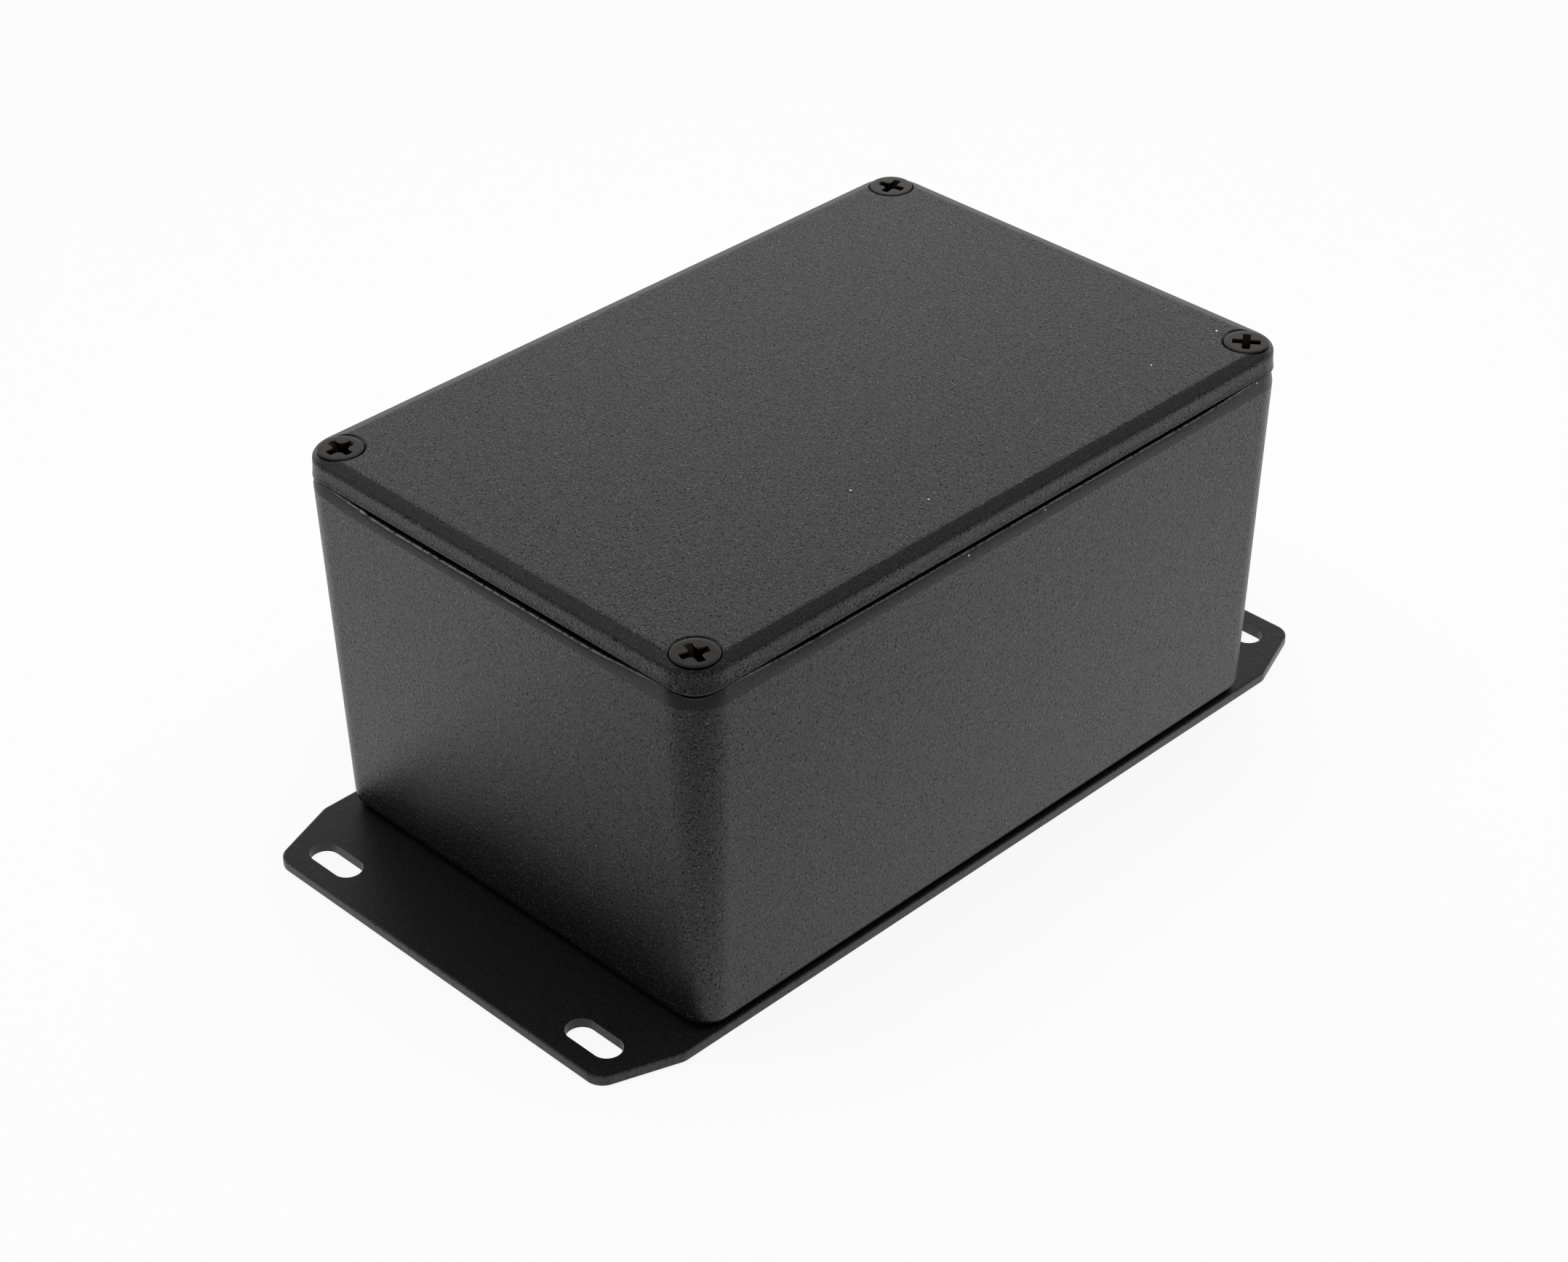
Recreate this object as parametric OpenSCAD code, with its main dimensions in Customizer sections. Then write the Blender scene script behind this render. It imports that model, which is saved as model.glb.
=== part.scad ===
// Die cast enclosure: a deep drafted box, a bevelled lid held by four countersunk
// cross-recess screws, and a slotted sheet flange riveted under the box.
// Millimetres. X is the width, Y the length, Z up.
// The origin is the middle of the flange plate's underside.

/* [Lid] */
// Length of the lid along Y
lid_l = 120; // [96:1:180]
// Width of the lid along X
lid_w = 80.5; // [64:0.5:120]
// Radius of the upright corners, where the box is widest
corner_r = 6; // [5:0.5:9]
// Thickness of the lid at its rim
lid_h = 3.3; // [2.8:0.1:5]
// Thickness of the lid inside its lip
lid_skin = 2.2; // [1.8:0.1:2.6]
// Width of the bevel round the top, seen from above
bevel_in = 2.25; // [1:0.05:3]
// Height of that bevel
bevel_drop = 0.8; // [0.4:0.05:1.2]
// Rounding between the bevel and the flat top
bevel_r = 1.5; // [0.5:0.1:3]
// Rounding of the lid's lower outer edge
lid_edge_r = 0.8; // [0.3:0.1:1.2]
// Lean of the lid's sides, in degrees
lid_draft = 1.5; // [0.5:0.1:3]

/* [Lap joint] */
// Depth of the lip under the lid
lip_h = 2; // [1.5:0.1:4]
// Thickness of the lip
lip_t = 1.6; // [1:0.1:2.5]
// Room between the lip and what it fits into
lip_gap = 0.4; // [0.3:0.05:0.8]
// Gap between the lid and the box's rim, all round
lid_gap = 0.25; // [0.15:0.05:0.8]

/* [Box] */
// Height of the box, from its underside to its rim
box_h = 57.15; // [40:0.05:90]
// Thickness of the walls
wall_t = 2.3; // [1.8:0.1:3]
// Thickness of the floor
floor_t = 2.5; // [2:0.1:4]
// Draft of the walls, in degrees
draft = 1.8; // [1:0.1:2.4]
// Rounding of the box's bottom edge
bottom_r = 2; // [1:0.1:2.5]
// Rounding between the floor and the walls inside
floor_r = 1.5; // [0.5:0.1:2]
// Height of the land between the parting line and the rim
land_h = 2.25; // [1.5:0.05:4]
// How far the land leans in at the rim
land_in = 0.35; // [0.15:0.05:0.6]
// How far the rim dips in the middle of the two ends
sag_end = 0.4; // [0:0.05:0.6]
// How far the rim dips in the middle of the two long sides
sag_side = 0.1; // [0:0.05:0.6]
// Step at the parting line, where the two halves of the die met
parting_step = 0.1; // [0.04:0.02:0.12]
// Radius of the corner bosses at the rim
boss_r = 4; // [3.4:0.1:5]
// Radius of the raised seat on each boss that carries the lid
seat_r = 3.2; // [2.6:0.1:3.6]
// Draft of the bosses, in degrees
boss_draft = 0.8; // [0.4:0.1:1.5]

/* [Ejector marks] */
// Diameter of the round marks that the die's ejector pins left inside
mark_d = 7; // [5:0.5:10]
// Depth of those marks
mark_h = 0.2; // [0.1:0.05:0.4]
// Distance from the lid's long sides to the marks
mark_side = 19; // [16:0.5:24]
// Distance from the lid's ends to the marks
mark_end = 42; // [36:0.5:48]

/* [Lid screws] */
// Distance from the lid's edges to each screw
screw_edge = 4.7; // [4.5:0.1:8]
// Diameter over the screw's thread
screw_d = 3.5; // [3:0.1:4.2]
// Length of the screw, with its head
screw_l = 12.7; // [10:0.1:20]
// Diameter of the countersunk head
head_d = 6.65; // [5.8:0.05:8]
// Angle of the head's cone, in degrees
head_angle = 82; // [80:1:92]
// Height of the head's upright rim
head_rim = 0.1; // [0.05:0.05:0.15]
// How far the head lies under the lid's top
head_sink = 0.05; // [0:0.05:0.3]
// Room round the head in its countersink
head_gap = 0.325; // [0.25:0.025:0.5]
// Room round the thread in the lid
hole_gap = 0.35; // [0.2:0.05:0.6]
// Room round the thread in the box
thread_gap = 0.1; // [0.05:0.05:0.2]
// Depth of the lead-in round the mouth of the tapped hole
lead_in = 0.4; // [0.2:0.1:0.8]
// Depth of the tapped hole past the screw's end
hole_spare = 2.5; // [1:0.5:6]
// Diameter over the four wings of the cross recess
recess_d = 4.3; // [3.6:0.1:4.8]
// Width of each wing
recess_w = 1.15; // [0.8:0.05:1.4]
// Depth of the recess
recess_h = 1.7; // [1.2:0.1:2]
// Diameter of the recess at its foot
recess_foot_d = 2.2; // [1.6:0.1:2.6]

/* [Flange plate] */
// Thickness of the plate
plate_t = 1.6; // [1.2:0.1:3]
// How far the plate stands out past each end of the lid
ear_l = 14.15; // [10:0.05:24]
// How far the plate's long sides lie inside the lid's
plate_in = 1.5; // [0.5:0.1:3]
// Size of the cut corners along X
chamfer_x = 4.4; // [2:0.1:8]
// Size of the cut corners along Y
chamfer_y = 12; // [6:0.5:16]
// Rounding of the plate's corners
plate_r = 3; // [1:0.1:4]
// Length of each slot, along X
slot_l = 9.8; // [6:0.1:14]
// Width of each slot
slot_w = 4.5; // [3.2:0.1:6]
// Distance from the plate's end to the middle of a slot
slot_end = 5.45; // [4.5:0.05:10]
// Distance from the plate's long side to the middle of a slot
slot_side = 11; // [9.5:0.1:20]

/* [Flange rivets] */
// Diameter of the rivet's body
rivet_d = 3.2; // [2.4:0.1:4]
// Diameter of its countersunk head
rivet_head_d = 5.8; // [4.6:0.1:6.4]
// Angle of the head's cone, in degrees
rivet_angle = 120; // [110:1:130]
// How far the head lies inside the plate's underside
rivet_sink = 0.1; // [0.05:0.05:0.2]
// Room round the rivet in its holes
rivet_gap = 0.05; // [0.03:0.01:0.1]
// Diameter of the upset end inside the box
tail_d = 5; // [4:0.1:6]
// Height of the upset end
tail_h = 1.4; // [1:0.1:2.5]
// Diameter of the drawn-off stem left in the middle of the rivet
stem_d = 1.8; // [1.2:0.1:2]
// Distance from the lid's long sides to the rivets
rivet_side = 19; // [14:0.5:28]
// Distance from the lid's ends to the rivets
rivet_end = 22; // [14:0.5:40]

/* [Hidden] */

$fn = 64;
coat_black = "#2a2a2c";
screw_black = "#1c1c1e";
rivet_grey = "#8c8e90";
// Overshoot of cutting shapes past the faces that they open
cut = 1;
// Steps in each rounded edge of a profile
arc_steps = 6;
// Steps in the soft edge over the lid's bevel
soft_steps = 3;
// Steps in the land's curve
land_steps = 3;
// Steps in the rim's dip along one side
sag_steps = 12;

// Heights
box_z = plate_t;
floor_z = box_z + floor_t;
rim_z = box_z + box_h;
parting_z = rim_z - land_h;
seat_z = rim_z + lid_gap;
top_z = seat_z + lid_h;
lip_z = seat_z - lip_h;
skin_z = top_z - lid_skin;

// Corner signs, in the order of the numbered screws and rivets
corners = [[1, -1], [-1, -1], [1, 1], [-1, 1]];
// Turn of each screw as it was left by the driver, in degrees
screw_turns = [-18, -2, 36, 13];

screw_x = lid_w / 2 - screw_edge;
screw_y = lid_l / 2 - screw_edge;
rivet_x = lid_w / 2 - rivet_side;
rivet_y = lid_l / 2 - rivet_end;
mark_x = lid_w / 2 - mark_side;
mark_y = lid_l / 2 - mark_end;

plate_w = lid_w - 2 * plate_in;
plate_l = lid_l + 2 * ear_l;
slot_x = plate_w / 2 - slot_side;
slot_y = plate_l / 2 - slot_end;

// Inside the box the outline has its own corner radius, large enough for draft and fillet
cavity_draft_in = (parting_z - floor_z) * tan(draft);
cavity_w = lid_w - 2 * wall_t;
cavity_l = lid_l - 2 * wall_t;
cavity_r = max(corner_r - wall_t, cavity_draft_in + floor_r + 0.3);
// The lip follows the cavity's outline at the lip's own lower edge
lip_e = (lip_z - parting_z) * tan(draft) - lip_gap;
boss_clear_r = boss_r + (rim_z - lip_z) * tan(boss_draft) + lip_gap;

head_z = top_z - head_sink;
screw_end_z = head_z - screw_l;
lid_hole_r = screw_d / 2 + hole_gap;
csk_r = head_d / 2 + head_gap;
tapped_r = screw_d / 2 + thread_gap;

// Points along an arc, both ends included
function arc(centre, r, from, to, steps) = [
    for (i = [0:steps])
        let (a = from + (to - from) * i / steps)
            [centre[0] + r * cos(a), centre[1] + r * sin(a)]
];

// How far a drafted wall lies outside its outline at the parting line, at height z
function wall_e(z) = (z - parting_z) * tan(draft);

// A drafted wall from a rounded foot at z0 up to z1, as [offset, height] points
function drafted(z0, z1, foot_r) = concat(
    arc([wall_e(z0 + foot_r) - foot_r / cos(draft), z0 + foot_r], foot_r, -90, -draft, arc_steps),
    [[wall_e(z1), z1]]
);

// The land above the parting line curves in towards the rim
function land() = [
    for (i = [0:land_steps])
        let (t = i / land_steps)
            [-parting_step - (land_in - parting_step) * t * t, parting_z + land_h * t]
];

// The lid's edge from its underside up over the bevel
function lid_edge() =
    let (
        lean = (lid_h - bevel_drop - lid_edge_r) * tan(lid_draft),
        slope = atan(bevel_drop / bevel_in),
        soft = bevel_r * tan(slope / 2)
    )
        concat(
            arc([-lid_edge_r, seat_z + lid_edge_r], lid_edge_r, -90, 0, arc_steps),
            [[-lean, top_z - bevel_drop]],
            arc([-lean - bevel_in - soft, top_z - bevel_r], bevel_r, 90 - slope, 90, soft_steps)
        );

// An outline with its corners rounded to radius r, each by an arc
function rounded_outline(points, r) = [
    for (i = [0:len(points) - 1])
        let (
            n = len(points),
            here = points[i],
            before = points[(i + n - 1) % n] - here,
            after = points[(i + 1) % n] - here,
            u = before / norm(before),
            v = after / norm(after),
            half = acos(u * v) / 2,
            middle = (u + v) / norm(u + v),
            centre = here + middle * r / sin(half),
            foot = here + u * r / tan(half) - centre,
            sweep = cross(u, v) < 0 ? 180 - 2 * half : 2 * half - 180,
            from = atan2(foot[1], foot[0])
        )
            each arc(centre, r, from, from + sweep, arc_steps)
];

// A block with round upright corners whose edge follows a profile of [offset, height] points.
// The corners keep their centres, so draft and fillets run round them evenly.
module profiled_block(w, l, r, profile) {
    x = w / 2 - r;
    y = l / 2 - r;
    foot = profile[0][1];
    head = profile[len(profile) - 1][1];
    section = concat([[0, foot]], [for (p = profile) [r + p[0], p[1]]], [[0, head]]);
    translate([-x, -y, foot])
        cube([2 * x, 2 * y, head - foot]);
    for (turn = [0, 180]) {
        rotate(turn)
            translate([x, y, 0])
                rotate([90, 0, 0])
                    linear_extrude(2 * y)
                        polygon(section);
        rotate(turn + 90)
            translate([y, x, 0])
                rotate([90, 0, 0])
                    linear_extrude(2 * x)
                        polygon(section);
    }
    for (i = [0:3])
        translate([[x, y], [-x, y], [-x, -y], [x, -y]][i])
            rotate(90 * i)
                rotate_extrude(angle = 90)
                    polygon(section);
}

module at_screws() {
    for (s = corners)
        translate([s[0] * screw_x, s[1] * screw_y, 0])
            children();
}

module at_rivets() {
    for (s = corners)
        translate([s[0] * rivet_x, s[1] * rivet_y, 0])
            children();
}

module at_marks() {
    for (s = corners)
        translate([s[0] * mark_x, s[1] * mark_y, 0])
            children();
}

// What the rim lacks along one side of the given half length, at a distance out from the middle
module rim_dip(out, half, sag) {
    dip = [
        for (i = [0:sag_steps])
            let (t = 2 * i / sag_steps - 1)
                [half * t, rim_z - sag * (1 - t * t)]
    ];
    translate([0, out + cut, 0])
        rotate([90, 0, 0])
            linear_extrude(2 * wall_t + cut)
                polygon(concat(dip, [[half, rim_z + cut], [-half, rim_z + cut]]));
}

// The space inside the box, less the corner bosses
module cavity() {
    difference() {
        profiled_block(cavity_w, cavity_l, cavity_r, drafted(floor_z, rim_z + cut, floor_r));
        at_screws()
            translate([0, 0, box_z])
                cylinder(
                    h = box_h + 2 * cut,
                    r1 = boss_r + box_h * tan(boss_draft),
                    r2 = boss_r - 2 * cut * tan(boss_draft)
                );
    }
}

module box() {
    color(coat_black)
        difference() {
            union() {
                difference() {
                    profiled_block(lid_w, lid_l, corner_r, concat(drafted(box_z, parting_z, bottom_r), land()));
                    cavity();
                }
                at_screws()
                    translate([0, 0, rim_z - cut])
                        cylinder(h = lid_gap + cut, r = seat_r);
            }
            for (turn = [0, 180]) {
                rotate(turn)
                    rim_dip(lid_l / 2, lid_w / 2 - 2 * corner_r, sag_end);
                rotate(turn + 90)
                    rim_dip(lid_w / 2, lid_l / 2 - 2 * corner_r, sag_side);
            }
            at_screws() {
                translate([0, 0, screw_end_z - hole_spare])
                    cylinder(h = screw_l + hole_spare, r = tapped_r);
                translate([0, 0, seat_z - lead_in])
                    cylinder(h = lead_in + cut, r1 = tapped_r, r2 = tapped_r + lead_in + cut);
            }
            at_marks()
                translate([0, 0, floor_z - mark_h])
                    cylinder(h = mark_h + cut, d = mark_d);
            at_rivets()
                translate([0, 0, box_z - cut])
                    cylinder(h = floor_t + 2 * cut, r = rivet_d / 2 + rivet_gap);
        }
}

// A ring's inner or outer form under the lid: the cavity's outline pulled in by an
// offset, and kept the same distance clear of the bosses
module lip_form(pull_in, z0, z1) {
    difference() {
        profiled_block(cavity_w, cavity_l, cavity_r, [[lip_e - pull_in, z0], [lip_e - pull_in, z1]]);
        at_screws()
            translate([0, 0, z0 - cut])
                cylinder(h = z1 - z0 + 2 * cut, r = boss_clear_r + pull_in);
    }
}

module countersink() {
    depth = (csk_r - lid_hole_r) / tan(head_angle / 2);
    translate([0, 0, top_z - depth])
        cylinder(h = depth + cut, r1 = lid_hole_r, r2 = csk_r + cut * tan(head_angle / 2));
    translate([0, 0, seat_z - cut])
        cylinder(h = lid_h, r = lid_hole_r);
}

module lid() {
    color(coat_black)
        difference() {
            union() {
                profiled_block(lid_w, lid_l, corner_r, lid_edge());
                lip_form(0, lip_z, seat_z + lid_edge_r);
            }
            lip_form(lip_t, lip_z - cut, skin_z);
            at_screws()
                countersink();
            at_marks()
                translate([0, 0, skin_z - cut])
                    cylinder(h = mark_h + cut, d = mark_d);
        }
}

// Four wings inside a tapered hole
module cross_recess() {
    intersection() {
        translate([0, 0, -recess_h])
            cylinder(
                h = recess_h + cut,
                r1 = recess_foot_d / 2,
                r2 = recess_d / 2 + cut * (recess_d - recess_foot_d) / 2 / recess_h
            );
        union() {
            cube([2 * recess_d, recess_w, 4 * recess_h], center = true);
            cube([recess_w, 2 * recess_d, 4 * recess_h], center = true);
        }
    }
}

module lid_screw(i) {
    shank_r = screw_d / 2;
    cone_h = (head_d / 2 - shank_r) / tan(head_angle / 2);
    tip = screw_d / 6;
    color(screw_black)
        translate([corners[i][0] * screw_x, corners[i][1] * screw_y, head_z])
            rotate(screw_turns[i])
                difference() {
                    rotate_extrude()
                        polygon([
                            [0, 0],
                            [head_d / 2, 0],
                            [head_d / 2, -head_rim],
                            [shank_r, -head_rim - cone_h],
                            [shank_r, tip - screw_l],
                            [shank_r - tip, -screw_l],
                            [0, -screw_l]
                        ]);
                    cross_recess();
                }
}

// A slot with round ends along X
module slot_cut() {
    straight = slot_l - slot_w;
    translate([-straight / 2, -slot_w / 2, -cut])
        cube([straight, slot_w, plate_t + 2 * cut]);
    for (turn = [0, 180])
        rotate(turn)
            translate([straight / 2, 0, -cut])
                rotate(-90)
                    rotate_extrude(angle = 180)
                        square([slot_w / 2, plate_t + 2 * cut]);
}

module flange_plate() {
    x = plate_w / 2;
    y = plate_l / 2;
    outline = [
        [x, chamfer_y - y], [x, y - chamfer_y], [x - chamfer_x, y], [chamfer_x - x, y],
        [-x, y - chamfer_y], [-x, chamfer_y - y], [chamfer_x - x, -y], [x - chamfer_x, -y]
    ];
    color(coat_black)
        difference() {
            linear_extrude(plate_t)
                polygon(rounded_outline(outline, plate_r));
            for (s = corners)
                translate([s[0] * slot_x, s[1] * slot_y, 0])
                    slot_cut();
            at_rivets()
                rivet_form(rivet_gap, plate_t + cut, -cut);
        }
}

// The rivet's head and body as a turned form, grown by a clearance.
// Below its flat head the form may run on down to z = foot.
module rivet_form(grow, top, foot) {
    slope = tan(rivet_angle / 2);
    head_r = rivet_head_d / 2 + grow;
    body_r = rivet_d / 2 + grow;
    rotate_extrude()
        polygon([
            [0, foot],
            [head_r + (rivet_sink - foot) * (foot < 0 ? slope : 0), foot],
            [head_r, rivet_sink],
            [body_r, rivet_sink + (head_r - body_r) / slope],
            [body_r, top],
            [0, top]
        ]);
}

module flange_rivet(i) {
    color(rivet_grey)
        translate([corners[i][0] * rivet_x, corners[i][1] * rivet_y, 0])
            difference() {
                union() {
                    rivet_form(0, floor_z, rivet_sink);
                    translate([0, 0, floor_z])
                        cylinder(h = tail_h, r1 = tail_d / 2, r2 = tail_d / 2 - tail_h / 2);
                }
                translate([0, 0, rivet_sink - cut])
                    cylinder(h = cut + plate_t / 2, r = stem_d / 2);
            }
}

box();
lid();
for (i = [0:3]) {
    lid_screw(i);
}
flange_plate();
for (i = [0:3]) {
    flange_rivet(i);
}
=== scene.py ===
"""Looks of a die cast enclosure: drafted box, bevelled lid, four screws and a riveted flange plate."""
import math

import bmesh
import bpy
from mathutils import Matrix, Vector


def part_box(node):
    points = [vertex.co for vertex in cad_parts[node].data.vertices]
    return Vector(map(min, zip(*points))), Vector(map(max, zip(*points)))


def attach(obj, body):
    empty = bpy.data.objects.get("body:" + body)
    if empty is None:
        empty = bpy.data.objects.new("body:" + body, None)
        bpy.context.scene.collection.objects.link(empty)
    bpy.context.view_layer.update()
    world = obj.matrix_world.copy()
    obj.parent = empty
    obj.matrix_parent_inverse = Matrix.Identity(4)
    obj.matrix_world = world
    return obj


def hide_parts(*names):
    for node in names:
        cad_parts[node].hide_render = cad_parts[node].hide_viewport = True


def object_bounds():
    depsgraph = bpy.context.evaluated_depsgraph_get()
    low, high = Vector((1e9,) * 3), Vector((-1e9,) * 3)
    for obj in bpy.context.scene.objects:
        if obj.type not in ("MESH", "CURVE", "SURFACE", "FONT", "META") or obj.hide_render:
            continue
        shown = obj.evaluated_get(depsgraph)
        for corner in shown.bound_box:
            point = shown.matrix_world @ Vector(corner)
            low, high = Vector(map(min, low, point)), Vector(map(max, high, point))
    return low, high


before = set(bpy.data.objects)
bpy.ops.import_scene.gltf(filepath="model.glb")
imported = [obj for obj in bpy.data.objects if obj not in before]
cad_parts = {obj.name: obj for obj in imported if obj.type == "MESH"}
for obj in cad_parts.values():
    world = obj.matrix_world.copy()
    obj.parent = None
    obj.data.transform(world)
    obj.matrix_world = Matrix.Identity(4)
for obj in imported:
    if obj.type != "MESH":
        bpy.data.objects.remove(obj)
cad_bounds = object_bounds()

# Sizes that the frame gives, in metres
MM = 0.001
lid_lo, lid_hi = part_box("lid")
box_lo, box_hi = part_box("box")
plate_lo, plate_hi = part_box("flange_plate")
screw_boxes = [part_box(f"lid_screw_{n}") for n in (1, 2, 3, 4)]
rivet_boxes = [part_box(f"flange_rivet_{n}") for n in (1, 2, 3, 4)]
LID_W = lid_hi.x - lid_lo.x
LID_L = lid_hi.y - lid_lo.y
TOP_Z = lid_hi.z
LIP_Z = lid_lo.z
SEAT_Z = box_hi.z
BOX_Z = box_lo.z
PLATE_W = plate_hi.x - plate_lo.x
PLATE_L = plate_hi.y - plate_lo.y
HEAD_Z = screw_boxes[0][1].z
SCREW_END_Z = screw_boxes[0][0].z
SCREW_L = HEAD_Z - SCREW_END_Z
RIVET_FOOT_Z = rivet_boxes[0][0].z
RIVET_TOP_Z = rivet_boxes[0][1].z
screw_places = [((lo + hi) / 2).to_2d().to_3d() for lo, hi in screw_boxes]
rivet_places = [((lo + hi) / 2).to_2d().to_3d() for lo, hi in rivet_boxes]

# Sizes of the castings
CORNER_R = 6 * MM
DRAFT = math.radians(1.8)
LID_DRAFT = math.radians(1.5)
LID_GAP = 0.25 * MM
RIM_Z = SEAT_Z - LID_GAP
LAND_H = 2.55 * MM
LAND_FOOT_LEAN = math.radians(8)
LAND_HEAD_LEAN = math.radians(10)
PARTING_Z = RIM_Z - LAND_H
RIM_EDGE_R = 0.1 * MM
END_DIP = 1.15 * MM
SIDE_DIP = 0.85 * MM
DIP_START = 1 * MM
DIP_FULL = 22 * MM
BURR_X = -26 * MM
BURR_H = 0.14 * MM
BURR_W = 0.5 * MM
NICK_X = BURR_X + 1.2 * MM
CORNER_DIP = 0.92 * MM
PARTING_RISE = 0.95 * MM
RISE_L = 15 * MM
BOTTOM_R = 2 * MM
WALL_T = 2.3 * MM
FLOOR_T = 2.5 * MM
FLOOR_Z = BOX_Z + FLOOR_T
FLOOR_R = 1.5 * MM
BEVEL_IN = 2.05 * MM
BEVEL_DROP = 0.75 * MM
BEVEL_R = 3 * MM
BEVEL_EDGE_R = 0.6 * MM
LID_EDGE_R = 0.15 * MM
LID_FLARE_H = 1.3 * MM
LID_FLARE = math.radians(16)
CORNER_DROP = 0.7 * MM
LID_SKIN = 2.2 * MM
LIP_T = 1.6 * MM
LIP_GAP = 0.4 * MM
LIP_ROOT = 0.3 * MM
BOSS_R = 4 * MM
BOSS_FILLET_R = 3.6 * MM
SEAT_R = 3.2 * MM
MARK_R = 3.5 * MM
MARK_H = 0.2 * MM
MARK_SIDE = 19 * MM
MARK_END = 42 * MM

# Sizes of the screws and their holes
SHANK_R = 1.75 * MM
HEAD_R = 3.3 * MM
HEAD_EDGE_R = 0.1 * MM
HEAD_FACE_R = HEAD_R - 0.6 * MM
HEAD_HALF_ANGLE = math.radians(41)
HEAD_GAP = 0.42 * MM
HOLE_GAP = 0.35 * MM
TAPPED_R = 1.85 * MM
LEAD_IN = 0.4 * MM
TAPPED_SPARE = 2.5 * MM
DRILL_POINT = 0.6 * TAPPED_R
THREAD_PITCH = 0.79 * MM
THREAD_DEPTH = 0.38 * MM
# Shares of half a pitch at which the thread's crest ends and its root begins
THREAD_FLANK = (0.12, 0.85)
RINGS_PER_PITCH = 8
RECESS_R = 2.15 * MM
RECESS_FOOT_R = 1.1 * MM
RECESS_W = 1.15 * MM
RECESS_H = 1.7 * MM
RECESS_TAPER = 0.3
RECESS_MAX_ROUNDING = 0.8
RECESS_POINT = 0.35 * RECESS_FOOT_R
RECESS_CLEAR = 0.1 * MM
RECESS_WALL_STEPS = 5
RECESS_EDGE_R = 0.13 * MM
MOUTH_ANGLES = [math.radians(a) for a in (45, 30, 15, 0)]
# Each screw was left at its own turn, and its driver has rounded the recess more or less
SCREW_TURNS = [math.radians(a) for a in (-18, -2, 36, 13)]
RECESS_ROUNDING = [r * MM for r in (0.5, 0.75, 0.12, 0.4)]

# Sizes of the plate and its rivets
CHAMFER_X = 4.4 * MM
CHAMFER_Y = 12 * MM
PLATE_R = 3 * MM
PLATE_EDGE_R = 0.25 * MM
SLOT_L = 9.8 * MM
SLOT_W = 4.5 * MM
SLOT_END = 5.45 * MM
SLOT_SIDE = 11 * MM
RIVET_R = 1.6 * MM
RIVET_HEAD_R = 2.9 * MM
RIVET_HALF_ANGLE = math.radians(60)
RIVET_GAP = 0.05 * MM
RIVET_HEAD_EASE = 0.05 * MM
TAIL_R = 2.5 * MM
TAIL_EASE = 0.1 * MM
TAIL_BELLY_H = 0.25 * MM
TAIL_SHOULDER_H = 0.7 * MM
TAIL_CROWN_IN = 0.5 * MM
TAIL_CROWN_DROP = 0.15 * MM
TAIL_FLAT_IN = 0.9 * MM
STEM_R = 0.9 * MM
STEM_TIP_R = 0.7 * STEM_R
STEM_TIP_H = 0.15 * MM
PIT_DEPTH = 0.7 * MM
PIT_EASE = 0.12 * MM

# How finely the meshes are made
CORNER_STEPS = 20
ARC_STEPS = 8
SIDE_STEP = 0.5 * MM
TURN_COLUMNS = 48
SUPPORT = 0.25 * MM
EDGE_SUPPORT = 0.06 * MM
MERGE = 0.001 * MM
OVERSHOOT = 1 * MM
SHARP_ANGLE = math.radians(32)
TURNING_R = 1 * MM

# Patterns of the finishes
GRAIN_TURN = (0.6, 0.4, 0.9)
PEEL_SCALE = 0.35
PEEL_HEIGHT = 0.5
# Values of a pattern between which each kind of mark fades in
TONE_LEVELS = (0.3, 0.7)
# Painted shade darkens the hollows between the hollow levels, and painted highlights lighten the tops
# between the top levels
HOLLOW_SHADE_LEVELS = (0.45, 0.36)
HIGHLIGHT_LEVELS = (0.62, 0.7)
CHIP_LEVELS = (0.34, 0.54)
COAT_SWING = -0.12
METAL_SWING = 0.1
CHIPS_PER_METRE = 1800.0
DUST_PER_METRE = 260.0
DUST_SIZE = 0.035
DUST_CORE = 0.45
SPECK_CORE = 0.6
LAND_GRAIN = 0.35
BEVEL_GRAIN = 0.45
BEVEL_HEAD = 0.05 * MM
# How pale the line along the rim's outer edge is: thin, worn coat and a painted highlight of the light
# that the edge catches
NEAR_WEAR_AND_HIGHLIGHT = 0.75
NEAR_WEAR_AND_HIGHLIGHT_FALL = 0.3
FAR_WEAR_AND_HIGHLIGHT = 0.6
RIM_LINE_SPREAD = 3
RIM_LINE_START = 0.4
RIM_WEAR_AND_HIGHLIGHT_DEPTH = 1.2 * RIM_EDGE_R
RECESS_WEAR_AND_SHADE_DEPTH = 0.5 * RECESS_EDGE_R


# Node trees

def add(tree, kind, inputs=None, **settings):
    """A new node. inputs maps a socket's name or number to a value or to another node's output."""
    node = tree.nodes.new(kind)
    for name, value in settings.items():
        setattr(node, name, value)
    for key, value in (inputs or {}).items():
        if isinstance(value, bpy.types.NodeSocket):
            tree.links.new(value, node.inputs[key])
        else:
            node.inputs[key].default_value = value
    return node


def maths(tree, operation, a, b=0.0):
    """The output of a Math node."""
    return add(tree, "ShaderNodeMath", {0: a, 1: b}, operation=operation).outputs[0]


def ramp(tree, value, low, high, start, end, ends="LINEAR"):
    """The output of a Map Range node: start where the value is low, end where it is high."""
    inputs = {0: value, 1: low, 2: high, 3: start, 4: end}
    return add(tree, "ShaderNodeMapRange", inputs, interpolation_type=ends).outputs[0]


def eased(tree, value, low, high, start, end):
    """A ramp with soft ends."""
    return ramp(tree, value, low, high, start, end, "SMOOTHSTEP")


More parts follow.
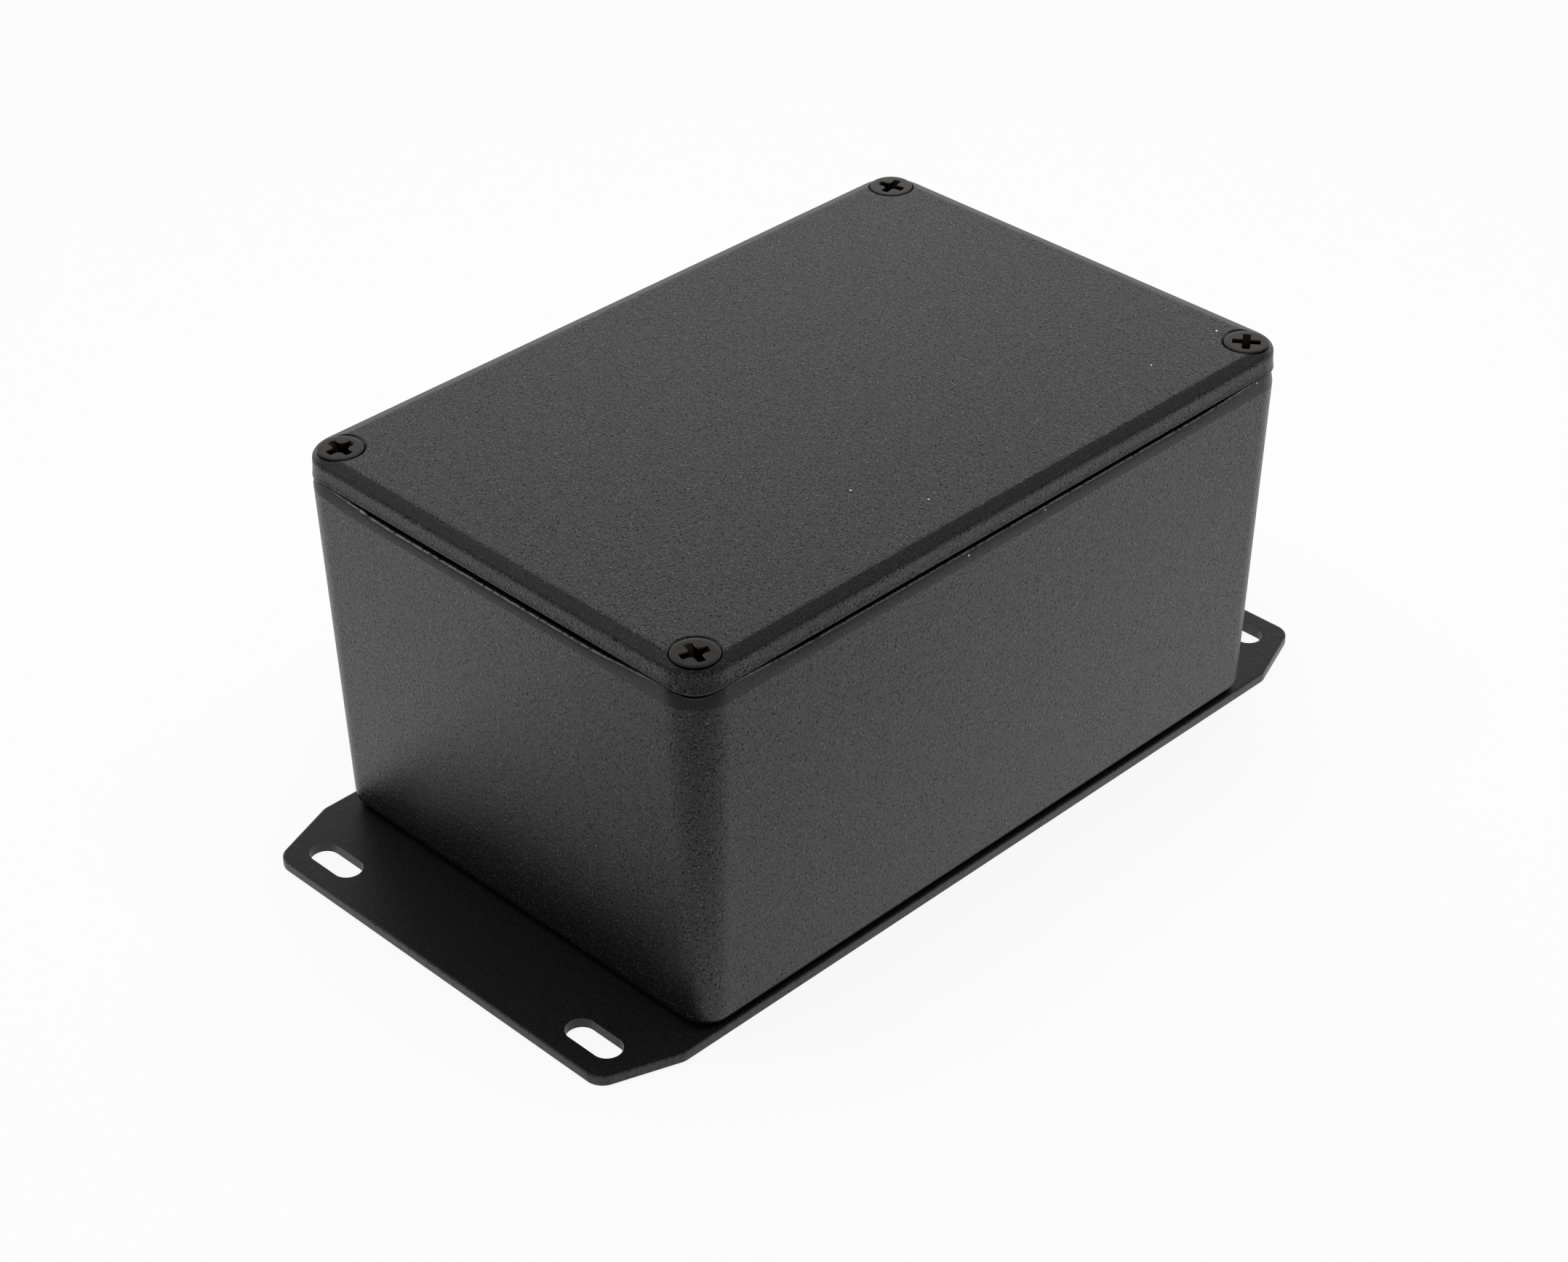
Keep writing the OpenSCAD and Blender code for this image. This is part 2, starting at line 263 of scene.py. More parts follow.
def new_tree(name, kind, inputs, outputs):
    """A node group with named sockets, and its input and output nodes."""
    tree = bpy.data.node_groups.new(name, kind)
    for label, socket in inputs.items():
        tree.interface.new_socket(label, in_out="INPUT", socket_type=socket)
    for label, socket in outputs.items():
        tree.interface.new_socket(label, in_out="OUTPUT", socket_type=socket)
    given = tree.nodes.new("NodeGroupInput").outputs
    result = tree.nodes.new("NodeGroupOutput").inputs
    return tree, given, result


def numbers(*labels):
    """Sockets that carry a number, for new_tree."""
    return dict.fromkeys(labels, "NodeSocketFloat")


def object_geometry(tree, socket):
    """The geometry of an object input."""
    return add(tree, "GeometryNodeObjectInfo", {"Object": socket}).outputs["Geometry"]


def merged(tree, given, shape):
    """The output of a Merge by Distance node."""
    inputs = {"Geometry": shape, "Distance": given["Merge Distance"]}
    return add(tree, "GeometryNodeMergeByDistance", inputs).outputs[0]


def end_tree(tree, given, result, shape):
    """Ends a geometry tree with real geometry in its material."""
    real = add(tree, "GeometryNodeRealizeInstances", {"Geometry": shape}).outputs[0]
    inputs = {"Geometry": real, "Material": given["Material"]}
    tree.links.new(add(tree, "GeometryNodeSetMaterial", inputs).outputs[0], result["Mesh"])
    return tree


def swept_casting_tree():
    """A profile swept round a level outline, with its lowest and highest edges closed by flat faces."""
    tree, given, result = new_tree(
        "swept_casting",
        "GeometryNodeTree",
        {
            "Outline": "NodeSocketObject",
            "Profile": "NodeSocketObject",
            "Merge Distance": "NodeSocketFloat",
            "Material": "NodeSocketMaterial",
        },
        {"Mesh": "NodeSocketGeometry"},
    )
    outline = object_geometry(tree, given["Outline"])
    profile = object_geometry(tree, given["Profile"])
    skin = add(tree, "GeometryNodeCurveToMesh", {"Curve": outline, "Profile Curve": profile}).outputs[0]
    faces = add(tree, "GeometryNodeInputMeshEdgeNeighbors").outputs[0]
    open_edge = add(tree, "FunctionNodeCompare", {2: faces, 3: 1}, data_type="INT", operation="EQUAL")
    inputs = {"Mesh": skin, "Selection": open_edge.outputs[0]}
    loops = add(tree, "GeometryNodeMeshToCurve", inputs).outputs[0]
    extent = add(tree, "GeometryNodeBoundBox", {"Geometry": skin}).outputs
    low = add(tree, "ShaderNodeSeparateXYZ", {0: extent["Min"]}).outputs[2]
    high = add(tree, "ShaderNodeSeparateXYZ", {0: extent["Max"]}).outputs[2]
    middle = maths(tree, "MULTIPLY", maths(tree, "ADD", low, high), 0.5)
    position = add(tree, "GeometryNodeInputPosition").outputs[0]
    height = add(tree, "ShaderNodeSeparateXYZ", {0: position}).outputs[2]
    is_upper = add(tree, "FunctionNodeCompare", {0: height, 1: middle}, operation="GREATER_THAN")
    inputs = {"Geometry": loops, "Selection": is_upper.outputs[0]}
    halves = add(tree, "GeometryNodeSeparateGeometry", inputs).outputs
    join = add(tree, "GeometryNodeJoinGeometry")
    tree.links.new(skin, join.inputs[0])
    for half, level in (("Selection", high), ("Inverted", low)):
        cap = add(tree, "GeometryNodeFillCurve", {"Curve": halves[half]}, mode="NGONS").outputs[0]
        lift = add(tree, "ShaderNodeCombineXYZ", {2: level}).outputs[0]
        placed = add(tree, "GeometryNodeSetPosition", {"Geometry": cap, "Offset": lift}).outputs[0]
        tree.links.new(placed, join.inputs[0])
    return end_tree(tree, given, result, merged(tree, given, join.outputs[0]))


def turned_body(tree, given):
    """Nodes that turn a profile about the Z axis. Its points are measured from the turning circle."""
    circle = add(
        tree,
        "GeometryNodeCurvePrimitiveCircle",
        {"Resolution": given["Columns"], "Radius": given["Turning Radius"]},
        mode="RADIUS",
    ).outputs[0]
    profile = object_geometry(tree, given["Profile"])
    skin = add(tree, "GeometryNodeCurveToMesh", {"Curve": circle, "Profile Curve": profile}).outputs[0]
    return merged(tree, given, skin)


TURNED_INPUTS = {
    "Profile": "NodeSocketObject",
    "Columns": "NodeSocketInt",
    "Turning Radius": "NodeSocketFloat",
    "Merge Distance": "NodeSocketFloat",
    "Material": "NodeSocketMaterial",
}


def turned_row_tree():
    """A turned shape at each of several points."""
    tree, given, result = new_tree(
        "turned_row",
        "GeometryNodeTree",
        {**TURNED_INPUTS, "Places": "NodeSocketObject"},
        {"Mesh": "NodeSocketGeometry"},
    )
    places = object_geometry(tree, given["Places"])
    inputs = {"Points": places, "Instance": turned_body(tree, given)}
    row = add(tree, "GeometryNodeInstanceOnPoints", inputs).outputs[0]
    return end_tree(tree, given, result, row)


def machine_screw_tree():
    """A turned screw with a thread wound round its shank and a recess cut into its head."""
    tree, given, result = new_tree(
        "machine_screw",
        "GeometryNodeTree",
        {
            **TURNED_INPUTS,
            "Recess": "NodeSocketObject",
            "Place": "NodeSocketVector",
            "Turn": "NodeSocketVector",
            **numbers("Pitch", "Thread Depth", "Thread Top", "Thread Foot"),
        },
        {"Mesh": "NodeSocketGeometry"},
    )
    body = turned_body(tree, given)
    position = add(tree, "GeometryNodeInputPosition").outputs[0]
    x, y, z = add(tree, "ShaderNodeSeparateXYZ", {0: position}).outputs
    turns = maths(tree, "DIVIDE", maths(tree, "ARCTAN2", y, x), math.tau)
    winding = maths(tree, "SUBTRACT", maths(tree, "DIVIDE", z, given["Pitch"]), turns)
    ridge = maths(tree, "MULTIPLY", maths(tree, "PINGPONG", winding, 0.5), 2)
    groove = ramp(tree, ridge, *THREAD_FLANK, 1.0, 0.0)
    runout = maths(tree, "SUBTRACT", given["Thread Top"], given["Pitch"])
    below_head = ramp(tree, z, given["Thread Top"], runout, 0.0, 1.0)
    lead = maths(tree, "ADD", given["Thread Foot"], given["Pitch"])
    above_end = ramp(tree, z, given["Thread Foot"], lead, 0.0, 1.0)
    cut = maths(tree, "MULTIPLY", maths(tree, "MULTIPLY", groove, below_head), above_end)
    depth = maths(tree, "MULTIPLY", maths(tree, "MULTIPLY", cut, given["Thread Depth"]), -1)
    level = add(tree, "ShaderNodeCombineXYZ", {0: x, 1: y}).outputs[0]
    outwards = add(tree, "ShaderNodeVectorMath", {0: level}, operation="NORMALIZE").outputs[0]
    sunk = add(tree, "ShaderNodeVectorMath", {0: outwards, "Scale": depth}, operation="SCALE").outputs[0]
    threaded = add(tree, "GeometryNodeSetPosition", {"Geometry": body, "Offset": sunk}).outputs[0]
    recess = object_geometry(tree, given["Recess"])
    headed = add(
        tree,
        "GeometryNodeMeshBoolean",
        {"Mesh 1": threaded, "Mesh 2": recess},
        operation="DIFFERENCE",
        solver="EXACT",
    ).outputs[0]
    inputs = {"Geometry": headed, "Translation": given["Place"], "Rotation": given["Turn"]}
    placed = add(tree, "GeometryNodeTransform", inputs).outputs[0]
    return end_tree(tree, given, result, placed)


# Making meshes from the trees

def poly_curve(name, points, closed=False):
    """A curve of straight runs between points, for a node tree to read."""
    curve = bpy.data.curves.new(name, "CURVE")
    curve.dimensions = "3D"
    spline = curve.splines.new("POLY")
    spline.points.add(len(points) - 1)
    for target, point in zip(spline.points, points):
        target.co = (*point, 1)
    spline.use_cyclic_u = closed
    curve_object = bpy.data.objects.new(name, curve)
    bpy.context.scene.collection.objects.link(curve_object)
    return curve_object


def point_cloud(name, places):
    """A mesh of loose points, for a node tree to read."""
    mesh = bpy.data.meshes.new(name)
    mesh.from_pydata([tuple(p) for p in places], [], [])
    points = bpy.data.objects.new(name, mesh)
    bpy.context.scene.collection.objects.link(points)
    return points


def discard(*helpers):
    """Takes away objects that only helped to make a piece."""
    for helper in helpers:
        bpy.data.objects.remove(helper)


def plain_copy(made):
    """Puts an object's finished mesh in place of its modifiers."""
    depsgraph = bpy.context.evaluated_depsgraph_get()
    mesh = bpy.data.meshes.new_from_object(made.evaluated_get(depsgraph), depsgraph=depsgraph)
    made.modifiers.clear()
    made.data = mesh
    mesh.name = made.name
    return made


def from_tree(name, tree, values):
    """A plain mesh object of what a node tree makes from these inputs."""
    made = bpy.data.objects.new(name, bpy.data.meshes.new(name))
    modifier = made.modifiers.new("Build", "NODES")
    modifier.node_group = tree
    for item in tree.interface.items_tree:
        if item.in_out == "INPUT":
            modifier[item.identifier] = values[item.name]
    bpy.context.scene.collection.objects.link(made)
    plain_copy(made)
    face_outwards(made.data)
    return made


def face_outwards(mesh):
    """Turns every face of a closed mesh outwards."""
    work = bmesh.new()
    work.from_mesh(mesh)
    bmesh.ops.recalc_face_normals(work, faces=work.faces)
    work.to_mesh(mesh)
    work.free()


def swept(name, outline, profile, material):
    """A solid whose edge follows a profile of (offset outwards, height) all round an outline."""
    # The sweep turns the profile's second axis downwards
    path = poly_curve(name + "_outline", divided(outline), closed=True)
    section = poly_curve(name + "_profile", [(e, -z, 0) for e, z in profile])
    values = {"Outline": path, "Profile": section, "Merge Distance": MERGE, "Material": material}
    made = from_tree(name, casting_tree, values)
    discard(path, section)
    return made


def turned_values(name, profile, material):
    """The inputs of a turned shape with a profile of (radius, height), and the curve that holds it."""
    section = poly_curve(name + "_profile", [(r - TURNING_R, -z, 0) for r, z in profile])
    values = {
        "Profile": section,
        "Columns": TURN_COLUMNS,
        "Turning Radius": TURNING_R,
        "Merge Distance": MERGE,
        "Material": material,
    }
    return values, section


def turned_row(name, profile, places, material):
    """The same turned solid at each place."""
    values, section = turned_values(name, profile, material)
    points = point_cloud(name + "_places", places)
    made = from_tree(name, row_tree, {**values, "Places": points})
    discard(section, points)
    return made


def combine(target, operation, *others):
    """Cuts other solids from the target or joins them to it, and takes them away."""
    for other in others:
        modifier = target.modifiers.new("Combine", "BOOLEAN")
        modifier.operation = operation
        modifier.object = other
        modifier.solver = "EXACT"
        modifier.material_mode = "TRANSFER"
    plain_copy(target)
    discard(*others)
    return target


def paint(piece, name, rule):
    """Writes a value at each point of a finished piece, for its material to read by that name."""
    attribute = piece.data.attributes.new(name, "FLOAT", "POINT")
    for vertex, value in zip(piece.data.vertices, attribute.data):
        value.value = rule(vertex.co)
    return piece


def clean(mesh):
    """Merges points that cuts left in one place, and drops faces with no area or folded double."""
    work = bmesh.new()
    work.from_mesh(mesh)
    bmesh.ops.remove_doubles(work, verts=work.verts, dist=MERGE)
    bmesh.ops.dissolve_degenerate(work, dist=MERGE, edges=work.edges)
    bmesh.ops.triangulate(work, faces=[face for face in work.faces if len(face.verts) > 4])
    twins = {}
    for face in work.faces:
        twins.setdefault(frozenset(face.verts), []).append(face)
    folded = [face for pair in twins.values() if len(pair) > 1 for face in pair]
    bmesh.ops.delete(work, geom=folded, context="FACES_ONLY")
    work.to_mesh(mesh)
    work.free()


def smooth(piece):
    """Shades a finished piece smooth between its sharp edges, with its large flat faces kept flat."""
    clean(piece.data)
    piece.data.shade_smooth()
    piece.data.set_sharp_from_angle(angle=SHARP_ANGLE)
    weigh = piece.modifiers.new("Weigh", "WEIGHTED_NORMAL")
    weigh.mode = "FACE_AREA"
    weigh.keep_sharp = True
    return plain_copy(piece)


# Outlines and profiles

def arc(centre, radius, start, end, steps):
    """Points along an arc in a plane, both ends included. Angles are in degrees."""
    points = []
    for i in range(steps + 1):
        angle = math.radians(start + (end - start) * i / steps)
        points.append((centre[0] + radius * math.cos(angle), centre[1] + radius * math.sin(angle)))
    return points


def divided(points):
    """A closed level outline with points added along its long straight sides."""
    finished = []
    for here, after in zip(points, points[1:] + points[:1]):
        here, after = Vector((*here, 0)), Vector((*after, 0))
        steps = max(1, round((after - here).length / SIDE_STEP))
        finished += [here.lerp(after, i / steps) for i in range(steps)]
    return finished


def rounded_outline(corners, radius):
    """An outline through corners listed anticlockwise, each rounded by an arc."""
    points = []
    for before, here, after in zip(corners[-1:] + corners[:-1], corners, corners[1:] + corners[:1]):
        here = Vector(here)
        u = (Vector(before) - here).normalized()
        v = (Vector(after) - here).normalized()
        half = u.angle(v) / 2
        centre = here + (u + v).normalized() * radius / math.sin(half)
        foot = here + u * radius / math.tan(half) - centre
        start = math.degrees(math.atan2(foot.y, foot.x))
        sweep = 180 - 2 * math.degrees(half)
        points += arc(centre, radius, start, start + sweep, CORNER_STEPS)
    return points


def rectangle(width, length, radius, centre=(0, 0)):
    """A rectangle's outline with round corners."""
    x, y = width / 2, length / 2
    corners = [(x, -y), (x, y), (-x, y), (-x, -y)]
    return rounded_outline([(centre[0] + a, centre[1] + b) for a, b in corners], radius)


def bossed_outline(width, length):
    """A rectangle's outline that runs round a boss in each corner, blended into the sides by fillets."""
    points = []
    place = screw_places[2]
    reach = BOSS_R + BOSS_FILLET_R
    for quarter in range(4):
        # Each corner is worked out at +X +Y and then turned, with the sides swapped at odd corners
        swapped = quarter % 2 == 1
        x, y = (length / 2, width / 2) if swapped else (width / 2, length / 2)
        boss = (abs(place.y), abs(place.x)) if swapped else (abs(place.x), abs(place.y))
        across = x - BOSS_FILLET_R - boss[0]
        first = (x - BOSS_FILLET_R, boss[1] - math.sqrt(reach ** 2 - across ** 2))
        across = y - BOSS_FILLET_R - boss[1]
        last = (boss[0] - math.sqrt(reach ** 2 - across ** 2), y - BOSS_FILLET_R)
        to_boss = math.degrees(math.atan2(boss[1] - first[1], boss[0] - first[0]))
        from_boss = math.degrees(math.atan2(boss[1] - last[1], boss[0] - last[0]))
        corner = arc(first, BOSS_FILLET_R, 0, to_boss, ARC_STEPS)
        corner += arc(boss, BOSS_R, to_boss - 180, from_boss - 180, CORNER_STEPS)[1:-1]
        corner += arc(last, BOSS_FILLET_R, from_boss, 90, ARC_STEPS)
        turn = Matrix.Rotation(quarter * math.pi / 2, 2)
        points += [tuple(turn @ Vector(p)) for p in corner]
    return points


def wall_offset(z):
    """How far a drafted wall lies outside its outline at the parting line."""
    return (z - PARTING_Z) * math.tan(DRAFT)


def drafted(z0, z1, foot_r):
    """The profile of a drafted wall from a rounded foot at z0 up to z1."""
    foot = (wall_offset(z0 + foot_r) - foot_r / math.cos(DRAFT), z0 + foot_r)
    rounding = arc(foot, foot_r, -90, -math.degrees(DRAFT), ARC_STEPS)
    inner = (rounding[0][0] - SUPPORT, z0)
    first = z0 + foot_r + SUPPORT
    last = z1 - EDGE_SUPPORT
    return [inner, *rounding, (wall_offset(first), first), (wall_offset(last), last)]


def leaning(start, height, lean_at):
    """A wall's profile from a start up by a height. Its lean inwards changes with the share climbed."""
    points = [start]
    step = height / ARC_STEPS
    for i in range(ARC_STEPS):
        lean = lean_at((i + 0.5) / ARC_STEPS)
        points.append((points[-1][0] - step * math.tan(lean), points[-1][1] + step))
    return points


def land_lean(share):
    """How far the land leans in, a little more towards the rim."""
    return LAND_FOOT_LEAN + (LAND_HEAD_LEAN - LAND_FOOT_LEAN) * share


def lid_lean(share):
    """How far the flared foot of the lid's side leans in, less and less on the way up."""
    return LID_DRAFT + (LID_FLARE - LID_DRAFT) * (1 - share) ** 2


def land():
    """The profile of the land, from the parting line up round the rim's small edge."""
    start = (-EDGE_SUPPORT * math.tan(LAND_FOOT_LEAN), PARTING_Z + EDGE_SUPPORT)
    height = LAND_H - EDGE_SUPPORT - RIM_EDGE_R * (1 - math.sin(LAND_HEAD_LEAN))
    points = [(0, PARTING_Z), *leaning(start, height, land_lean)]
    outward = Vector((math.cos(LAND_HEAD_LEAN), math.sin(LAND_HEAD_LEAN)))
    centre = Vector(points[-1]) - outward * RIM_EDGE_R
    points += arc(centre, RIM_EDGE_R, math.degrees(LAND_HEAD_LEAN), 90, ARC_STEPS // 2)[1:]
    points.append((points[-1][0] - SUPPORT, RIM_Z))
    return points


def lid_edge():
    """The profile of the lid's edge, from its underside up the flared side and over the bevel."""
    foot = arc((-LID_EDGE_R, SEAT_Z + LID_EDGE_R), LID_EDGE_R, -90, math.degrees(LID_FLARE), ARC_STEPS)
    side = leaning(foot[-1], LID_FLARE_H, lid_lean)
    side_top = TOP_Z - BEVEL_DROP
    outer = side[-1][0] - (side_top - side[-1][1]) * math.tan(LID_DRAFT)
    slope = math.atan(BEVEL_DROP / BEVEL_IN)
    facing = 90 - math.degrees(slope)
    reach = BEVEL_EDGE_R * math.tan((math.pi / 2 - slope) / 2)
    edge = arc((outer - BEVEL_EDGE_R, side_top - reach), BEVEL_EDGE_R, 0, facing, ARC_STEPS)
    soft = BEVEL_R * math.tan(slope / 2)
    over = arc((outer - BEVEL_IN - soft, TOP_Z - BEVEL_R), BEVEL_R, facing, 90, ARC_STEPS)
    under = (foot[0][0] - SUPPORT, SEAT_Z)
    top = (over[-1][0] - SUPPORT, TOP_Z)
    return [under, *foot, *side[1:], *edge, *over, top]


# Shader groups that several finishes share

def object_place(tree):
    """Coordinates that stay with the object."""
    return add(tree, "ShaderNodeTexCoord").outputs["Object"]


def coat_grain_group():
    """The pebbled skin of a sprayed coat, with painted shade in its hollows and painted highlights on its
    tops, full where Amount is 1.
    """
    tree, given, result = new_tree(
        "coat_grain",
        "ShaderNodeTree",
        numbers("Pebbles Per Metre", "Hollow Depth", "Amount"),
        numbers("Height", "Tone", "Hollows", "Tops"),
    )
    # The noise is turned, because a wall that runs nearly along its lattice shows bands
    inputs = {"Vector": object_place(tree), "Rotation": GRAIN_TURN}
    place = add(tree, "ShaderNodeMapping", inputs).outputs[0]
    scale = given["Pebbles Per Metre"]
    inputs = {"Vector": place, "Scale": scale, "Detail": 3.0, "Roughness": 0.65}
    pebbles = add(tree, "ShaderNodeTexNoise", inputs).outputs[0]
    inputs = {"Vector": place, "Scale": maths(tree, "MULTIPLY", scale, PEEL_SCALE), "Detail": 1.0}
    peel = add(tree, "ShaderNodeTexNoise", inputs).outputs[0]
    # Painted shade in the low parts of the pattern
    shaded_hollows = eased(tree, pebbles, *HOLLOW_SHADE_LEVELS, 0.0, 1.0)
    shaded_hollows = maths(tree, "MULTIPLY", shaded_hollows, given["Hollow Depth"])
    # Painted highlights on the high parts of the pattern
    painted_highlights = eased(tree, pebbles, *HIGHLIGHT_LEVELS, 0.0, 1.0)
    level = maths(tree, "ADD", pebbles, maths(tree, "MULTIPLY", peel, PEEL_HEIGHT))
    tone = ramp(tree, pebbles, *TONE_LEVELS, 0.0, 1.0)
    middle = maths(tree, "MULTIPLY", maths(tree, "SUBTRACT", tone, 0.5), given["Amount"])
    tree.links.new(maths(tree, "MULTIPLY", level, given["Amount"]), result["Height"])
    tree.links.new(maths(tree, "ADD", middle, 0.5), result["Tone"])
    tree.links.new(maths(tree, "MULTIPLY", shaded_hollows, given["Amount"]), result["Hollows"])
    tree.links.new(maths(tree, "MULTIPLY", painted_highlights, given["Amount"]), result["Tops"])
    return tree


def edge_wear_and_highlight_group():
    """Worn edges, and on the rim a painted highlight: a broken mask along the edges where Edge is 1."""
    tree, given, result = new_tree(
        "edge_wear", "ShaderNodeTree", numbers("Edge", "Chips Per Metre"), numbers("Mask")
    )
    place = object_place(tree)
    inputs = {"Vector": place, "Scale": given["Chips Per Metre"], "Detail": 3.0, "Roughness": 0.6}
    chips = add(tree, "ShaderNodeTexNoise", inputs).outputs[0]
    broken = ramp(tree, chips, *CHIP_LEVELS, 0.0, 1.0)
    tree.links.new(maths(tree, "MULTIPLY", broken, given["Edge"]), result["Mask"])
    return tree


def dust_group():
    """Sparse round specks of dust in a share of the pattern's cells: a mask that is 1 on a speck."""
    tree, given, result = new_tree(
        "dust_specks",
        "ShaderNodeTree",
        numbers("Cells Per Metre", "Speck Size", "Share"),
        numbers("Mask"),
    )
    inputs = {"Vector": object_place(tree), "Scale": given["Cells Per Metre"]}
    cells = add(tree, "ShaderNodeTexVoronoi", inputs).outputs
    core = maths(tree, "MULTIPLY", given["Speck Size"], DUST_CORE)
    speck = ramp(tree, cells["Distance"], core, given["Speck Size"], 1.0, 0.0)
    chance = add(tree, "ShaderNodeSeparateColor", {0: cells["Color"]}).outputs[0]
    chosen = maths(tree, "LESS_THAN", chance, given["Share"])
    tree.links.new(maths(tree, "MULTIPLY", speck, chosen), result["Mask"])
    return tree


def speck_group():
    """One speck of dust that lies at a place: a mask that is 1 on it."""
    tree, given, result = new_tree(
        "single_speck",
        "ShaderNodeTree",
        {"Place": "NodeSocketVector", **numbers("Radius")},
        numbers("Mask"),
    )
    ends = {0: object_place(tree), 1: given["Place"]}
    gap = add(tree, "ShaderNodeVectorMath", ends, operation="DISTANCE").outputs["Value"]
    inner = maths(tree, "MULTIPLY", given["Radius"], SPECK_CORE)
    tree.links.new(ramp(tree, gap, given["Radius"], inner, 0.0, 1.0), result["Mask"])
    return tree


# Materials

def blend(tree, kind, share, a, b):
    """The output of a Mix node. kind is RGBA or FLOAT."""
    # A Mix node numbers the sockets of every kind in one row
    first, result = (6, 2) if kind == "RGBA" else (2, 0)
    inputs = {0: share, first: a, first + 1: b}
    return add(tree, "ShaderNodeMix", inputs, data_type=kind).outputs[result]


def new_material(name):
    """A material, its tree and its Principled shader."""
    material = bpy.data.materials.new(name)
    material.use_nodes = True
    return material, material.node_tree, material.node_tree.nodes["Principled BSDF"]


def colour(r, g, b):
    """A colour with full alpha."""
    return (r, g, b, 1.0)


def group(tree, node_tree, values):
    """The outputs of a group node in a material, with its inputs set."""
    return add(tree, "ShaderNodeGroup", values, node_tree=node_tree).outputs


def painted(tree, name):
    """A value that was written on the mesh."""
    return add(tree, "ShaderNodeAttribute", attribute_name=name).outputs["Fac"]


def coat_material(name, look, specks=()):
    """A sprayed coat with its grain, painted shade in its hollows, painted highlights on its tops, pale
    edges of wear and painted highlight, and dust, smoother where the mesh carries less grain.
    """
    material, tree, shader = new_material(name)
    shader.inputs["Specular IOR Level"].default_value = look["gloss"]
    amount = painted(tree, "grain")
    values = {"Pebbles Per Metre": look["pebbles"], "Hollow Depth": look["shaded_hollows"], "Amount": amount}
    grain = group(tree, grain_group, values)
    toned = blend(tree, "RGBA", grain["Tone"], look["dark"], look["light"])
    # Painted shade in the hollows and painted highlights on the tops, laid over the coat's tone
    hollowed = blend(tree, "RGBA", grain["Hollows"], toned, HOLLOW_SHADE_BLACK)
    highlighted = blend(tree, "RGBA", grain["Tops"], hollowed, look["painted_highlights"])
    # Pale edges: real wear on the plate's cut edges, and on the rim also a painted highlight
    values = {"Edge": painted(tree, "wear"), "Chips Per Metre": CHIPS_PER_METRE}
    worn_and_painted_light = blend(tree, "RGBA", group(tree, wear_and_highlight_group, values)["Mask"], highlighted, look["worn_and_painted_light"])
    values = {"Cells Per Metre": DUST_PER_METRE, "Speck Size": DUST_SIZE, "Share": look["dust"]}
    dust = group(tree, dust_tree, values)["Mask"]
    for place, radius in specks:
        speck = group(tree, speck_tree, {"Place": Vector(place) * MM, "Radius": radius * MM})["Mask"]
        dust = maths(tree, "MAXIMUM", dust, speck)
    tree.links.new(blend(tree, "RGBA", dust, worn_and_painted_light, DUST), shader.inputs["Base Color"])
    # Painted shade: the coat's hollows are made black metal, so that they lose their reflection as well
    # as their colour
    tree.links.new(grain["Hollows"], shader.inputs["Metallic"])
    even = ramp(tree, amount, 0.0, 1.0, look["smooth_roughness"], look["roughness"])
    uneven = maths(tree, "MULTIPLY", maths(tree, "SUBTRACT", grain["Tone"], 0.5), COAT_SWING)
    tree.links.new(maths(tree, "ADD", even, uneven), shader.inputs["Roughness"])
    relief = add(tree, "ShaderNodeBump", {"Height": grain["Height"], "Distance": look["bump"]})
    tree.links.new(relief.outputs[0], shader.inputs["Normal"])
    return material


def metal_material(name, dark, light, roughness, scale, worn_and_painted_light=None):
    """A plain metal with a faint mottled tone, and another colour where the mesh carries wear and painted
    shade.
    """
    material, tree, shader = new_material(name)
    shader.inputs["Metallic"].default_value = 1.0
    inputs = {"Vector": object_place(tree), "Scale": scale, "Detail": 4.0}
    mottle = add(tree, "ShaderNodeTexNoise", inputs).outputs[0]
    tone = blend(tree, "RGBA", mottle, dark, light)
    if worn_and_painted_light:
        tone = blend(tree, "RGBA", painted(tree, "wear"), tone, worn_and_painted_light)
    tree.links.new(tone, shader.inputs["Base Color"])
    uneven = ramp(tree, mottle, 0.0, 1.0, roughness - METAL_SWING, roughness + METAL_SWING)
    tree.links.new(uneven, shader.inputs["Roughness"])
    return material


grain_group = coat_grain_group()
wear_and_highlight_group = edge_wear_and_highlight_group()
dust_tree = dust_group()
speck_tree = speck_group()
DUST = colour(0.85, 0.85, 0.83)
# The colour of the painted shade in the coat's hollows
HOLLOW_SHADE_BLACK = colour(0.001, 0.001, 0.001)
